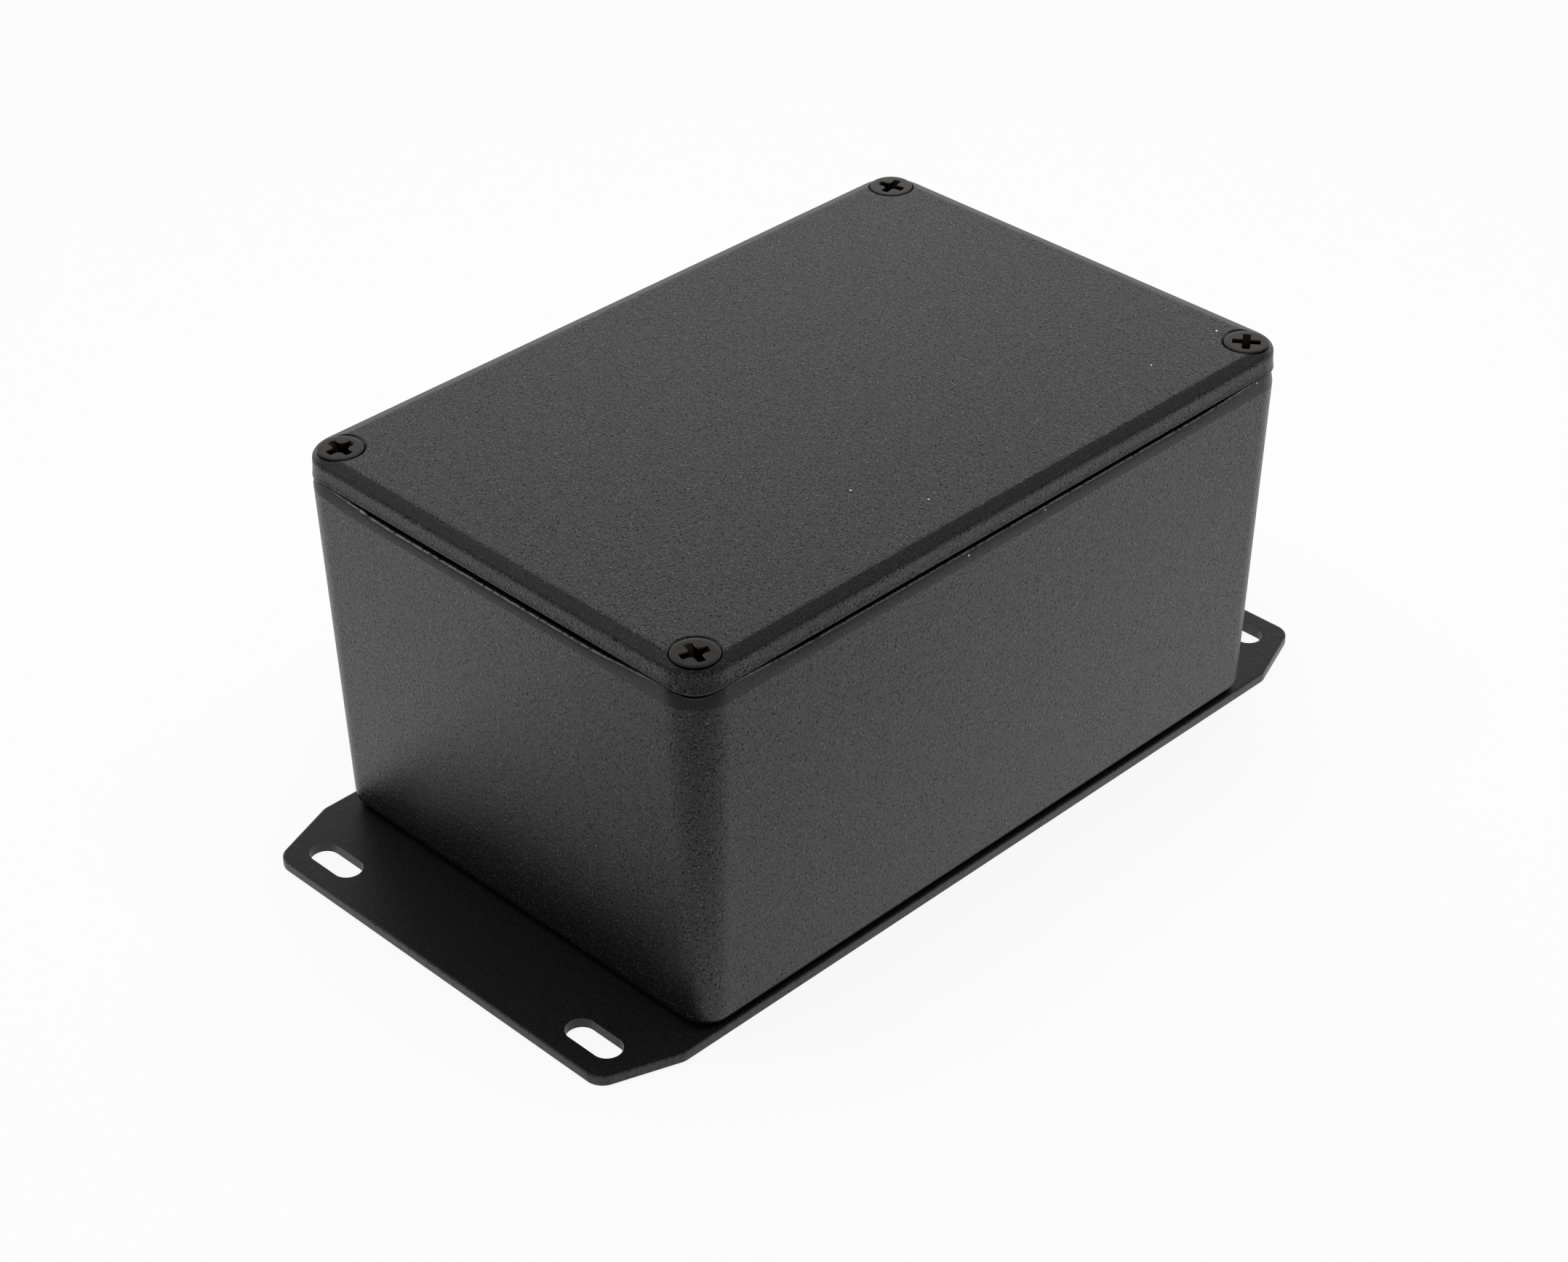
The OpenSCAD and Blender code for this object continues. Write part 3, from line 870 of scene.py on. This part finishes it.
# Specks that lie on the lid, its edge, the land and the rim: place and radius in mm
SPECKS = [
    ((30.5, 54.7, 62.3), 0.22), ((30.1, 40.4, 62.3), 0.17), ((31.9, -8.3, 62.3), 0.17),
    ((22.8, -14.0, 62.3), 0.17), ((40.0, 52.7, 58.15), 0.17), ((40.1, 6.5, 57.5), 0.17),
    ((40.1, -9.0, 57.3), 0.17), ((40.0, 1.5, 58.3), 0.15), ((32.4, -59.8, 58.25), 0.16),
    ((32.4, -59.85, 58.0), 0.16), ((10.3, -59.9, 57.7), 0.15), ((20.1, -60.0, 59.9), 0.15),
]
powder_coat = coat_material(
    "powder_coat",
    {
        "dark": colour(0.003, 0.003, 0.003),
        "light": colour(0.011, 0.0109, 0.0109),
        # The colour of the painted highlights on the grain's tops
        "painted_highlights": colour(0.16, 0.159, 0.157),
        # Pale edges: worn coat, and on the rim also a painted highlight
        "worn_and_painted_light": colour(0.5, 0.49, 0.47),
        "gloss": 0.64,
        "roughness": 0.34,
        "smooth_roughness": 0.3,
        "pebbles": 3400.0,
        "shaded_hollows": 0.95,
        "bump": 0.00008,
        "dust": 0.01,
    },
    SPECKS,
)
coated_sheet = coat_material(
    "coated_sheet",
    {
        "dark": colour(0.0045, 0.0045, 0.0045),
        "light": colour(0.0125, 0.0125, 0.0125),
        # Faint painted highlights on the grain's tops
        "painted_highlights": colour(0.018, 0.018, 0.018),
        "worn_and_painted_light": colour(0.04, 0.038, 0.036),
        "gloss": 0.5,
        "roughness": 0.38,
        "smooth_roughness": 0.34,
        "pebbles": 2600.0,
        "shaded_hollows": 0.2,
        "bump": 0.00003,
        "dust": 0.01,
    },
)
blackened_steel = metal_material(
    "blackened_steel",
    dark=colour(0.07, 0.066, 0.062),
    light=colour(0.1, 0.094, 0.088),
    roughness=0.38,
    scale=900.0,
    # Darker brown on the recess walls: metal rubbed by drivers, and painted shade in the recess
    worn_and_painted_light=colour(0.04, 0.03, 0.022),
)
rivet_aluminium = metal_material(
    "rivet_aluminium",
    dark=colour(0.5, 0.5, 0.51),
    light=colour(0.68, 0.68, 0.69),
    roughness=0.35,
    scale=700.0,
)
tapped_metal = metal_material(
    "tapped_metal",
    dark=colour(0.42, 0.42, 0.42),
    light=colour(0.6, 0.6, 0.6),
    roughness=0.35,
    scale=900.0,
)

casting_tree = swept_casting_tree()
row_tree = turned_row_tree()
screw_tree = machine_screw_tree()


# The pieces

def cavity_outline():
    """The inside of the box at the parting line."""
    return bossed_outline(LID_W - 2 * WALL_T, LID_L - 2 * WALL_T)


def discs(name, places, radius, z0, z1):
    """Round solids with straight sides, in the castings' coat."""
    profile = [(0, z0), (radius, z0), (radius, z1), (0, z1)]
    return turned_row(name, profile, places, powder_coat)


def mark_places():
    """Where the ejector pins pressed, on the floor and under the lid."""
    x, y = LID_W / 2 - MARK_SIDE, LID_L / 2 - MARK_END
    return [(sx * x, sy * y, 0) for sx in (1, -1) for sy in (1, -1)]


def soft_step(share):
    """Rises from 0 to 1 with soft ends."""
    share = min(1.0, max(0.0, share))
    return share * share * (3 - 2 * share)


def off_corner(x, y):
    """0 at a corner of the rim and 1 well along its sides."""
    reach = max(LID_W / 2 - abs(x), LID_L / 2 - abs(y))
    return soft_step((reach - DIP_START) / (DIP_FULL - DIP_START))


def past_centre(x, y):
    """How far a point lies outside the centre of the nearest round corner, in X and in Y."""
    return abs(x) - LID_W / 2 + CORNER_R, abs(y) - LID_L / 2 + CORNER_R


def corner_turn(x, y):
    """0 along the sides of lid and rim, rising to 1 in the middle of each round corner."""
    u, v = past_centre(x, y)
    return math.sin(2 * math.atan2(v, u)) if min(u, v) > 0 else 0.0


def rim_dip(x, y):
    """How far the rim lies under its full height, along its sides and in the middle of its corners."""
    on_end = LID_L / 2 - abs(y) < LID_W / 2 - abs(x)
    return (END_DIP if on_end else SIDE_DIP) * off_corner(x, y) + CORNER_DIP * corner_turn(x, y)


def rim_burr(x, y):
    """A small torn burr on the near end's rim, with a nick beside it."""
    if y > 0 or LID_L / 2 + y > CORNER_R:
        return 0.0
    hump = math.exp(-((x - BURR_X) / BURR_W) ** 2)
    nick = math.exp(-((x - NICK_X) / BURR_W) ** 2)
    return BURR_H * (hump - nick)


def parting_rise(x, y):
    """How far the parting line climbs towards the corner at -X -Y."""
    return PARTING_RISE * soft_step(1 - max(x + LID_W / 2, y + LID_L / 2) / RISE_L)


def inset(place):
    """How far a point lies inside the upright outline of lid and rim."""
    u, v = past_centre(place.x, place.y)
    return CORNER_R - math.hypot(max(u, 0), max(v, 0)) - min(max(u, v), 0)


def make_box():
    """The box: drafted walls and a dipping rim, hollowed, with screw seats, holes and ejector marks."""
    outline = rectangle(LID_W, LID_L, CORNER_R)
    body = swept("box_casting", outline, drafted(BOX_Z, PARTING_Z, BOTTOM_R) + land(), powder_coat)
    for vertex in body.data.vertices:
        x, y, z = vertex.co
        if z > PARTING_Z - EDGE_SUPPORT - MERGE:
            share = max(0.0, (z - PARTING_Z) / LAND_H)
            drop = (rim_dip(x, y) - rim_burr(x, y)) * share ** 2
            vertex.co.z += parting_rise(x, y) * (1 - share) - drop
    cavity = drafted(FLOOR_Z, RIM_Z + 2 * OVERSHOOT, FLOOR_R)
    combine(body, "DIFFERENCE", swept("inside", cavity_outline(), cavity, powder_coat))
    root = RIM_Z - CORNER_DIP - OVERSHOOT
    combine(body, "UNION", discs("seats", screw_places, SEAT_R, root, SEAT_Z))
    mouth = TAPPED_R + LEAD_IN + OVERSHOOT
    tapped = [
        (0, SCREW_END_Z - TAPPED_SPARE - DRILL_POINT),
        (TAPPED_R, SCREW_END_Z - TAPPED_SPARE),
        (TAPPED_R, SEAT_Z - LEAD_IN),
        (mouth, SEAT_Z + OVERSHOOT),
        (0, SEAT_Z + OVERSHOOT),
    ]
    combine(
        body,
        "DIFFERENCE",
        turned_row("tapped_holes", tapped, screw_places, tapped_metal),
        discs("marks", mark_places(), MARK_R, FLOOR_Z - MARK_H, FLOOR_Z + OVERSHOOT),
        discs("rivet_holes", rivet_places, RIVET_R + RIVET_GAP, BOX_Z - OVERSHOOT, FLOOR_Z + OVERSHOOT),
    )
    return paint(paint(smooth(body), "grain", box_grain), "wear", rim_wear_and_highlight)


def box_grain(place):
    """Full on the walls, faint on the land."""
    return LAND_GRAIN if place.z > PARTING_Z + parting_rise(place.x, place.y) - MERGE else 1.0


def rim_wear_and_highlight(place):
    """High along the outer edge of the rim's sides, where the coat is thin and a painted highlight stands
    for the light that the edge catches.
    """
    depth = RIM_Z - rim_dip(place.x, place.y) - place.z
    outer = LAND_H * math.tan((LAND_FOOT_LEAN + LAND_HEAD_LEAN) / 2) + 2 * RIM_EDGE_R
    # Paler on the -Y end and most towards -X: a painted highlight as well as thin coat
    pale_line = NEAR_WEAR_AND_HIGHLIGHT - NEAR_WEAR_AND_HIGHLIGHT_FALL * place.x / (LID_W / 2) if place.y < 0 else FAR_WEAR_AND_HIGHLIGHT
    pale_line *= soft_step(RIM_LINE_SPREAD * off_corner(place.x, place.y) - RIM_LINE_START)
    return pale_line * float(inset(place) < outer and depth < RIM_WEAR_AND_HIGHLIGHT_DEPTH)


def lid_grain(place):
    """Full on the top and the sides, less on the bevel."""
    on_bevel = TOP_Z - BEVEL_DROP - MERGE < place.z < TOP_Z - BEVEL_HEAD
    return BEVEL_GRAIN if on_bevel else 1.0


def lid_wear(place):
    """Nowhere: the lid's coat is whole."""
    return 0.0


def lid_drop(place):
    """How far the lid's lower edge hangs down round its corners. The seat inside it stays level."""
    climbed = min(1.0, max(0.0, (place.z - SEAT_Z) / LID_FLARE_H))
    outer = min(1.0, max(0.0, 1 - (inset(place) - LID_EDGE_R) / SUPPORT))
    return CORNER_DROP * corner_turn(place.x, place.y) * outer * (1 - climbed) ** 2


def level_profile(offset, z0, z1):
    """The profile of a plain upright wall."""
    return [(offset, z0), (offset, z1)]


def make_lid():
    """The lid: a bevelled casting with a lip round a shallow pocket, and its countersunk holes."""
    outline = rectangle(LID_W, LID_L, CORNER_R)
    body = swept("lid_casting", outline, lid_edge(), powder_coat)
    for vertex in body.data.vertices:
        vertex.co.z -= lid_drop(vertex.co)
    lip_offset = wall_offset(LIP_Z) - LIP_GAP
    lip = level_profile(lip_offset, LIP_Z, SEAT_Z + LIP_ROOT)
    combine(body, "UNION", swept("lip", cavity_outline(), lip, powder_coat))
    skin_z = TOP_Z - LID_SKIN
    pocket = level_profile(lip_offset - LIP_T, LIP_Z - OVERSHOOT, skin_z)
    combine(body, "DIFFERENCE", swept("pocket", cavity_outline(), pocket, powder_coat))
    hole_r = SHANK_R + HOLE_GAP
    sink_r = HEAD_R + HEAD_GAP
    slope = math.tan(HEAD_HALF_ANGLE)
    countersink = [
        (0, SEAT_Z - OVERSHOOT),
        (hole_r, SEAT_Z - OVERSHOOT),
        (hole_r, TOP_Z - (sink_r - hole_r) / slope),
        (sink_r + OVERSHOOT * slope, TOP_Z + OVERSHOOT),
        (0, TOP_Z + OVERSHOOT),
    ]
    combine(
        body,
        "DIFFERENCE",
        turned_row("countersinks", countersink, screw_places, powder_coat),
        discs("lid_marks", mark_places(), MARK_R, skin_z - OVERSHOOT, skin_z + MARK_H),
    )
    return paint(paint(smooth(body), "grain", lid_grain), "wear", lid_wear)


def plate_outline():
    """The plate's outline with its cut corners, anticlockwise."""
    x, y = PLATE_W / 2, PLATE_L / 2
    corners = [
        (x, CHAMFER_Y - y), (x, y - CHAMFER_Y), (x - CHAMFER_X, y), (CHAMFER_X - x, y),
        (-x, y - CHAMFER_Y), (-x, CHAMFER_Y - y), (CHAMFER_X - x, -y), (x - CHAMFER_X, -y),
    ]
    return rounded_outline(corners, PLATE_R)


def make_plate():
    """The flange plate with its softened edges, four slots and the sinks for its rivets."""
    r = PLATE_EDGE_R
    thick = plate_hi.z
    low = arc((-r, r), r, -90, 0, ARC_STEPS // 2)
    high = arc((-r, thick - r), r, 0, 90, ARC_STEPS // 2)
    edge = [(low[0][0] - SUPPORT, 0), *low, *high, (high[-1][0] - SUPPORT, thick)]
    plate = swept("plate", plate_outline(), edge, coated_sheet)
    slope = math.tan(RIVET_HALF_ANGLE)
    head_r, body_r = RIVET_HEAD_R + RIVET_GAP, RIVET_R + RIVET_GAP
    rivet_cut = [
        (0, -OVERSHOOT),
        (head_r + (RIVET_FOOT_Z + OVERSHOOT) * slope, -OVERSHOOT),
        (head_r, RIVET_FOOT_Z),
        (body_r, RIVET_FOOT_Z + (head_r - body_r) / slope),
        (body_r, thick + OVERSHOOT),
        (0, thick + OVERSHOOT),
    ]
    cutters = [turned_row("rivet_sinks", rivet_cut, rivet_places, coated_sheet)]
    x, y = PLATE_W / 2 - SLOT_SIDE, PLATE_L / 2 - SLOT_END
    for sx in (1, -1):
        for sy in (1, -1):
            outline = rectangle(SLOT_L, SLOT_W, SLOT_W / 2 - MERGE, (sx * x, sy * y))
            profile = level_profile(0, -OVERSHOOT, thick + OVERSHOOT)
            cutters.append(swept("slot", outline, profile, coated_sheet))
    smooth(combine(plate, "DIFFERENCE", *cutters))
    return paint(paint(plate, "grain", plate_grain), "wear", plate_wear)


def plate_grain(place):
    """The same all over."""
    return 1.0


def plate_wear(place):
    """1 on the cut edges between the two faces."""
    return float(MERGE < place.z < plate_hi.z - MERGE)


def make_rivets():
    """The four flush rivets, with the stubs of their drawn stems and their upset ends inside the box."""
    slope = math.tan(RIVET_HALF_ANGLE)
    foot = RIVET_FOOT_Z
    profile = [
        (0, foot + PIT_DEPTH - STEM_TIP_H),
        (STEM_TIP_R, foot + PIT_DEPTH),
        (STEM_R, foot + PIT_DEPTH),
        (STEM_R, foot + PIT_EASE),
        (STEM_R + PIT_EASE, foot),
        (RIVET_HEAD_R - RIVET_HEAD_EASE, foot),
        (RIVET_HEAD_R, foot + RIVET_HEAD_EASE),
        (RIVET_R, foot + (RIVET_HEAD_R - RIVET_R) / slope),
        (RIVET_R, FLOOR_Z),
        (TAIL_R - TAIL_EASE, FLOOR_Z),
        (TAIL_R, FLOOR_Z + TAIL_BELLY_H),
        (TAIL_R - TAIL_EASE, FLOOR_Z + TAIL_SHOULDER_H),
        (TAIL_R - TAIL_CROWN_IN, RIVET_TOP_Z - TAIL_CROWN_DROP),
        (TAIL_R - TAIL_FLAT_IN, RIVET_TOP_Z),
        (0, RIVET_TOP_Z),
    ]
    return smooth(turned_row("rivets", profile, rivet_places, rivet_aluminium))


def recess_ring(depth, flare, rounding):
    """The outline of a cross recess at a depth under the head's face, with its inner corners rounded."""
    share = max(0.0, depth) / RECESS_H
    radius = RECESS_R + (RECESS_FOOT_R - RECESS_R) * share + flare
    half = RECESS_W / 2 * (1 - RECESS_TAPER * share) + flare
    corner = min(rounding, RECESS_MAX_ROUNDING * (radius - half))
    points = []
    for quarter in range(4):
        turn = Matrix.Rotation(quarter * math.pi / 2, 2)
        tip = math.degrees(math.asin(half / radius))
        arm = arc((0, 0), radius, -tip, tip, ARC_STEPS // 2)
        arm += arc((half + corner, half + corner), corner, 270, 180, ARC_STEPS)
        points += [turn @ Vector(p) for p in arm]
    return points


def recess_levels():
    """Depths of a recess's rings and how far each is widened: round its mouth, then down its walls."""
    r = RECESS_EDGE_R
    mouth = [(r * (1 - math.sin(a)), r * (1 - math.cos(a))) for a in MOUTH_ANGLES]
    step = (RECESS_H - r) / RECESS_WALL_STEPS
    walls = [(r + step * (i + 1), 0) for i in range(RECESS_WALL_STEPS)]
    return [(-RECESS_CLEAR, sum(mouth[0]) + RECESS_CLEAR), *mouth, *walls]


def recess_cutter(rounding):
    """A cross that narrows downwards to a point, with a rounded edge at its mouth."""
    mesh = bmesh.new()
    loops = []
    for depth, flare in recess_levels():
        loops.append([mesh.verts.new((p.x, p.y, -depth)) for p in recess_ring(depth, flare, rounding)])
    for upper, lower in zip(loops, loops[1:]):
        for a in range(len(upper)):
            b = (a + 1) % len(upper)
            mesh.faces.new((upper[a], upper[b], lower[b], lower[a]))
    mesh.faces.new(loops[0])
    foot = mesh.verts.new((0, 0, -RECESS_H - RECESS_POINT))
    for a in range(len(loops[-1])):
        mesh.faces.new((loops[-1][a], loops[-1][(a + 1) % len(loops[-1])], foot))
    bmesh.ops.recalc_face_normals(mesh, faces=mesh.faces)
    data = bpy.data.meshes.new("recess")
    mesh.to_mesh(data)
    mesh.free()
    data.materials.append(blackened_steel)
    cutter = bpy.data.objects.new("recess", data)
    bpy.context.scene.collection.objects.link(cutter)
    return cutter


def screw_profile():
    """The screw from the middle of its head to its end, with close rings where the thread is cut."""
    cone_z = -HEAD_EDGE_R - (HEAD_R - SHANK_R) / math.tan(HEAD_HALF_ANGLE)
    tip = SHANK_R / 3
    edge = arc((HEAD_R - HEAD_EDGE_R, -HEAD_EDGE_R), HEAD_EDGE_R, 90, 0, ARC_STEPS // 2)
    profile = [(0, 0), (HEAD_FACE_R, 0), *edge]
    shank_end = tip - SCREW_L
    rings = RINGS_PER_PITCH * round((cone_z - shank_end) / THREAD_PITCH)
    profile += [(SHANK_R, cone_z + (shank_end - cone_z) * i / rings) for i in range(rings + 1)]
    profile += [(SHANK_R - tip, -SCREW_L), (0, -SCREW_L)]
    return profile, cone_z, shank_end


def recess_wear_and_shade(axis):
    """A rule that is 1 on the walls of a screw's recess, which are painted a darker brown: metal rubbed
    by drivers, and painted shade in the recess.
    """
    def rule(place):
        depth = HEAD_Z - place.z
        reach = RECESS_R + (RECESS_FOOT_R - RECESS_R) * depth / RECESS_H + RECESS_EDGE_R
        return float(depth > RECESS_WEAR_AND_SHADE_DEPTH and (place - axis).to_2d().length < reach)
    return rule


def make_screws():
    """The four lid screws, each with its own turn and its own recess, rounded more or less by its driver.
    """
    profile, thread_top, thread_foot = screw_profile()
    values, section = turned_values("screw", profile, blackened_steel)
    screws = []
    for i, place in enumerate(screw_places):
        cutter = recess_cutter(RECESS_ROUNDING[i])
        values.update({
            "Recess": cutter,
            "Place": (place.x, place.y, HEAD_Z),
            "Turn": (0, 0, SCREW_TURNS[i]),
            "Pitch": THREAD_PITCH,
            "Thread Depth": THREAD_DEPTH,
            "Thread Top": thread_top,
            "Thread Foot": thread_foot,
        })
        screw = smooth(from_tree(f"screw_{i + 1}", screw_tree, values))
        screws.append(paint(screw, "wear", recess_wear_and_shade(place)))
        discard(cutter)
    discard(section)
    return screws


# The stage

PICTURE_W = 2156
FOCAL_PIXELS = 4652.1
AIM = Vector((0, 0, 30 * MM))
CAMERA_DISTANCE = 497.787 * MM
CAMERA_SIDE = -3.163 * MM
CAMERA_RISE = -7.03 * MM
CAMERA_AZIMUTH = math.radians(45.387)
CAMERA_ELEVATION = math.radians(34.39)
CAMERA_ROLL = math.radians(-0.583)


def behind():
    """The level direction away from the camera."""
    return Vector((-math.sin(CAMERA_AZIMUTH), math.cos(CAMERA_AZIMUTH), 0))


def make_camera():
    """The camera where it stood for the photograph."""
    back = Vector((0, 0, math.sin(CAMERA_ELEVATION))) - behind() * math.cos(CAMERA_ELEVATION)
    right = Vector((math.cos(CAMERA_AZIMUTH), math.sin(CAMERA_AZIMUTH), 0))
    up = back.cross(right)
    place = AIM + back * CAMERA_DISTANCE + right * CAMERA_SIDE + up * CAMERA_RISE
    rolled_right = right * math.cos(CAMERA_ROLL) + up * math.sin(CAMERA_ROLL)
    rolled_up = up * math.cos(CAMERA_ROLL) - right * math.sin(CAMERA_ROLL)
    data = bpy.data.cameras.new("photo_camera")
    data.sensor_fit = "HORIZONTAL"
    data.lens = data.sensor_width * FOCAL_PIXELS / PICTURE_W
    camera = bpy.data.objects.new("photo_camera", data)
    turn = Matrix((rolled_right, rolled_up, back)).transposed()
    camera.matrix_world = Matrix.Translation(place) @ turn.to_4x4()
    bpy.context.scene.collection.objects.link(camera)
    bpy.context.scene.camera = camera


# The sky is bright low down behind the object, dim on the camera's side and dark overhead
OVERHEAD = 0.08
HORIZON = 1.85
GLOW_FOOT = 0.36
GLOW_HEAD = 0.48
FRONT_SHARE = 0.35
REAR_START = -0.3
REAR_FULL = 0.9
HAZE = 0.05
HAZE_HEAD = 0.28
KEY_LIGHT = 0.5
KEY_WAY = Vector((-0.587, 0.092, 0.803))
FILL_LIGHT = 0.25
FILL_WAY = Vector((-0.099, 0.579, 0.808))
LAMP_INNER = math.radians(5)
LAMP_OUTER = math.radians(17)
# A soft lamp overhead brings matt colours to their written level, and leaves no shine
LAMP_SIZE = 0.8
LAMP_Z = 0.8
LAMP_POWER = 6.0
FLOOR_REACH = 3
FLOOR_GAP = 0.02 * MM
FLOOR_WHITE = 0.9
FLOOR_ROUGHNESS = 0.9
CAMERA_SHARE = 0.88
# How brightly the floor glows in reflections: dimmer in front of the object, as a painted shadow of it,
# and dimmer further out
FLOOR_GLOW_NEAR = 1.0
FLOOR_GLOW_FRONT = 0.38
FRONT_REACH = 0.15
FLOOR_GLOW_FAR = 0.6
SHEET_REACH = 0.12
SHEET_END = 0.28


def along(tree, place, way):
    """How far a vector reaches along a direction."""
    return add(tree, "ShaderNodeVectorMath", {0: place, 1: way}, operation="DOT_PRODUCT").outputs["Value"]


def ray_kinds(tree):
    """A Light Path node's outputs, and 1 for rays that the camera sees straight or through glass."""
    rays = add(tree, "ShaderNodeLightPath").outputs
    return rays, maths(tree, "MAXIMUM", rays["Is Camera Ray"], rays["Is Transmission Ray"])


def make_world():
    """A soft studio, white to the camera: a low glow behind the object and two large soft lamps."""
    world = bpy.data.worlds.new("studio")
    world.use_nodes = True
    bpy.context.scene.world = world
    tree = world.node_tree
    way = add(tree, "ShaderNodeTexCoord").outputs["Generated"]
    height = along(tree, way, Vector((0, 0, 1)))
    low = eased(tree, height, GLOW_FOOT, GLOW_HEAD, 1.0, 0.0)
    low = maths(tree, "MULTIPLY", low, eased(tree, height, 0.0, HAZE_HEAD, HAZE, 1.0))
    back = ramp(tree, along(tree, way, behind()), REAR_START, REAR_FULL, FRONT_SHARE, 1.0)
    light = maths(tree, "MULTIPLY", maths(tree, "MULTIPLY", low, back), HORIZON)
    for strength, lamp_way in ((KEY_LIGHT, KEY_WAY), (FILL_LIGHT, FILL_WAY)):
        facing = along(tree, way, lamp_way.normalized())
        lamp = eased(tree, facing, math.cos(LAMP_OUTER), math.cos(LAMP_INNER), 0.0, strength)
        light = maths(tree, "ADD", light, lamp)
    light = maths(tree, "ADD", light, OVERHEAD)
    rays, seen = ray_kinds(tree)
    sky = tree.nodes["Background"]
    sky.inputs["Color"].default_value = colour(1, 1, 1)
    tree.links.new(blend(tree, "FLOAT", seen, light, 1.0), sky.inputs["Strength"])


def floor_material():
    """White that keeps part of the object's shadow, and shows in the object as a pale glowing sheet,
    dimmer in front of it as a painted shadow.
    """
    material, tree, shader = new_material("floor_white")
    shader.inputs["Base Color"].default_value = colour(FLOOR_WHITE, FLOOR_WHITE, FLOOR_WHITE)
    shader.inputs["Roughness"].default_value = FLOOR_ROUGHNESS
    shader.inputs["Specular IOR Level"].default_value = 0.0
    place = object_place(tree)
    depth = along(tree, place, behind())
    # The glow is dimmer in front of the object as a painted shadow, and dimmer further out
    sheet = ramp(tree, depth, -FRONT_REACH, 0.0, FLOOR_GLOW_FRONT, FLOOR_GLOW_NEAR)
    span = add(tree, "ShaderNodeVectorMath", {0: place}, operation="LENGTH").outputs["Value"]
    sheet = maths(tree, "MULTIPLY", sheet, eased(tree, span, SHEET_REACH, SHEET_END, 1.0, FLOOR_GLOW_FAR))
    rays, seen = ray_kinds(tree)
    mirrored = rays["Is Glossy Ray"]
    share = maths(tree, "MAXIMUM", maths(tree, "MULTIPLY", seen, CAMERA_SHARE), mirrored)
    white = add(tree, "ShaderNodeEmission", {"Strength": blend(tree, "FLOAT", mirrored, 1.0, sheet)})
    mix = add(tree, "ShaderNodeMixShader", {0: share, 1: shader.outputs[0], 2: white.outputs[0]})
    tree.links.new(mix.outputs[0], tree.nodes["Material Output"].inputs["Surface"])
    return material


def make_lamp():
    """A large square lamp straight above the object."""
    data = bpy.data.lights.new("soft_lamp", "AREA")
    data.size = LAMP_SIZE
    data.energy = LAMP_POWER
    lamp = bpy.data.objects.new("soft_lamp", data)
    lamp.location = (0, 0, LAMP_Z)
    lamp.visible_glossy = False
    bpy.context.scene.collection.objects.link(lamp)


def make_floor():
    """A wide level floor just under the object."""
    mesh = bpy.data.meshes.new("studio_floor")
    r = FLOOR_REACH
    z = cad_bounds[0].z - FLOOR_GAP
    mesh.from_pydata([(-r, -r, z), (r, -r, z), (r, r, z), (-r, r, z)], [], [(0, 1, 2, 3)])
    floor = bpy.data.objects.new("studio_floor", mesh)
    bpy.context.scene.collection.objects.link(floor)
    mesh.materials.append(floor_material())


bpy.context.scene.view_settings.view_transform = "Standard"
make_camera()
make_world()
make_lamp()
make_floor()

box_piece = make_box()
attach(box_piece, "base")
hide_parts("box")

lid_piece = make_lid()
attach(lid_piece, "lid")
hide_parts("lid")

plate_piece = make_plate()
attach(plate_piece, "base")
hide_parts("flange_plate")

rivet_piece = make_rivets()
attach(rivet_piece, "base")
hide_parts(*[f"flange_rivet_{n}" for n in (1, 2, 3, 4)])

for number, screw in enumerate(make_screws(), start=1):
    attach(screw, f"screw_{number}")
    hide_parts(f"lid_screw_{number}")
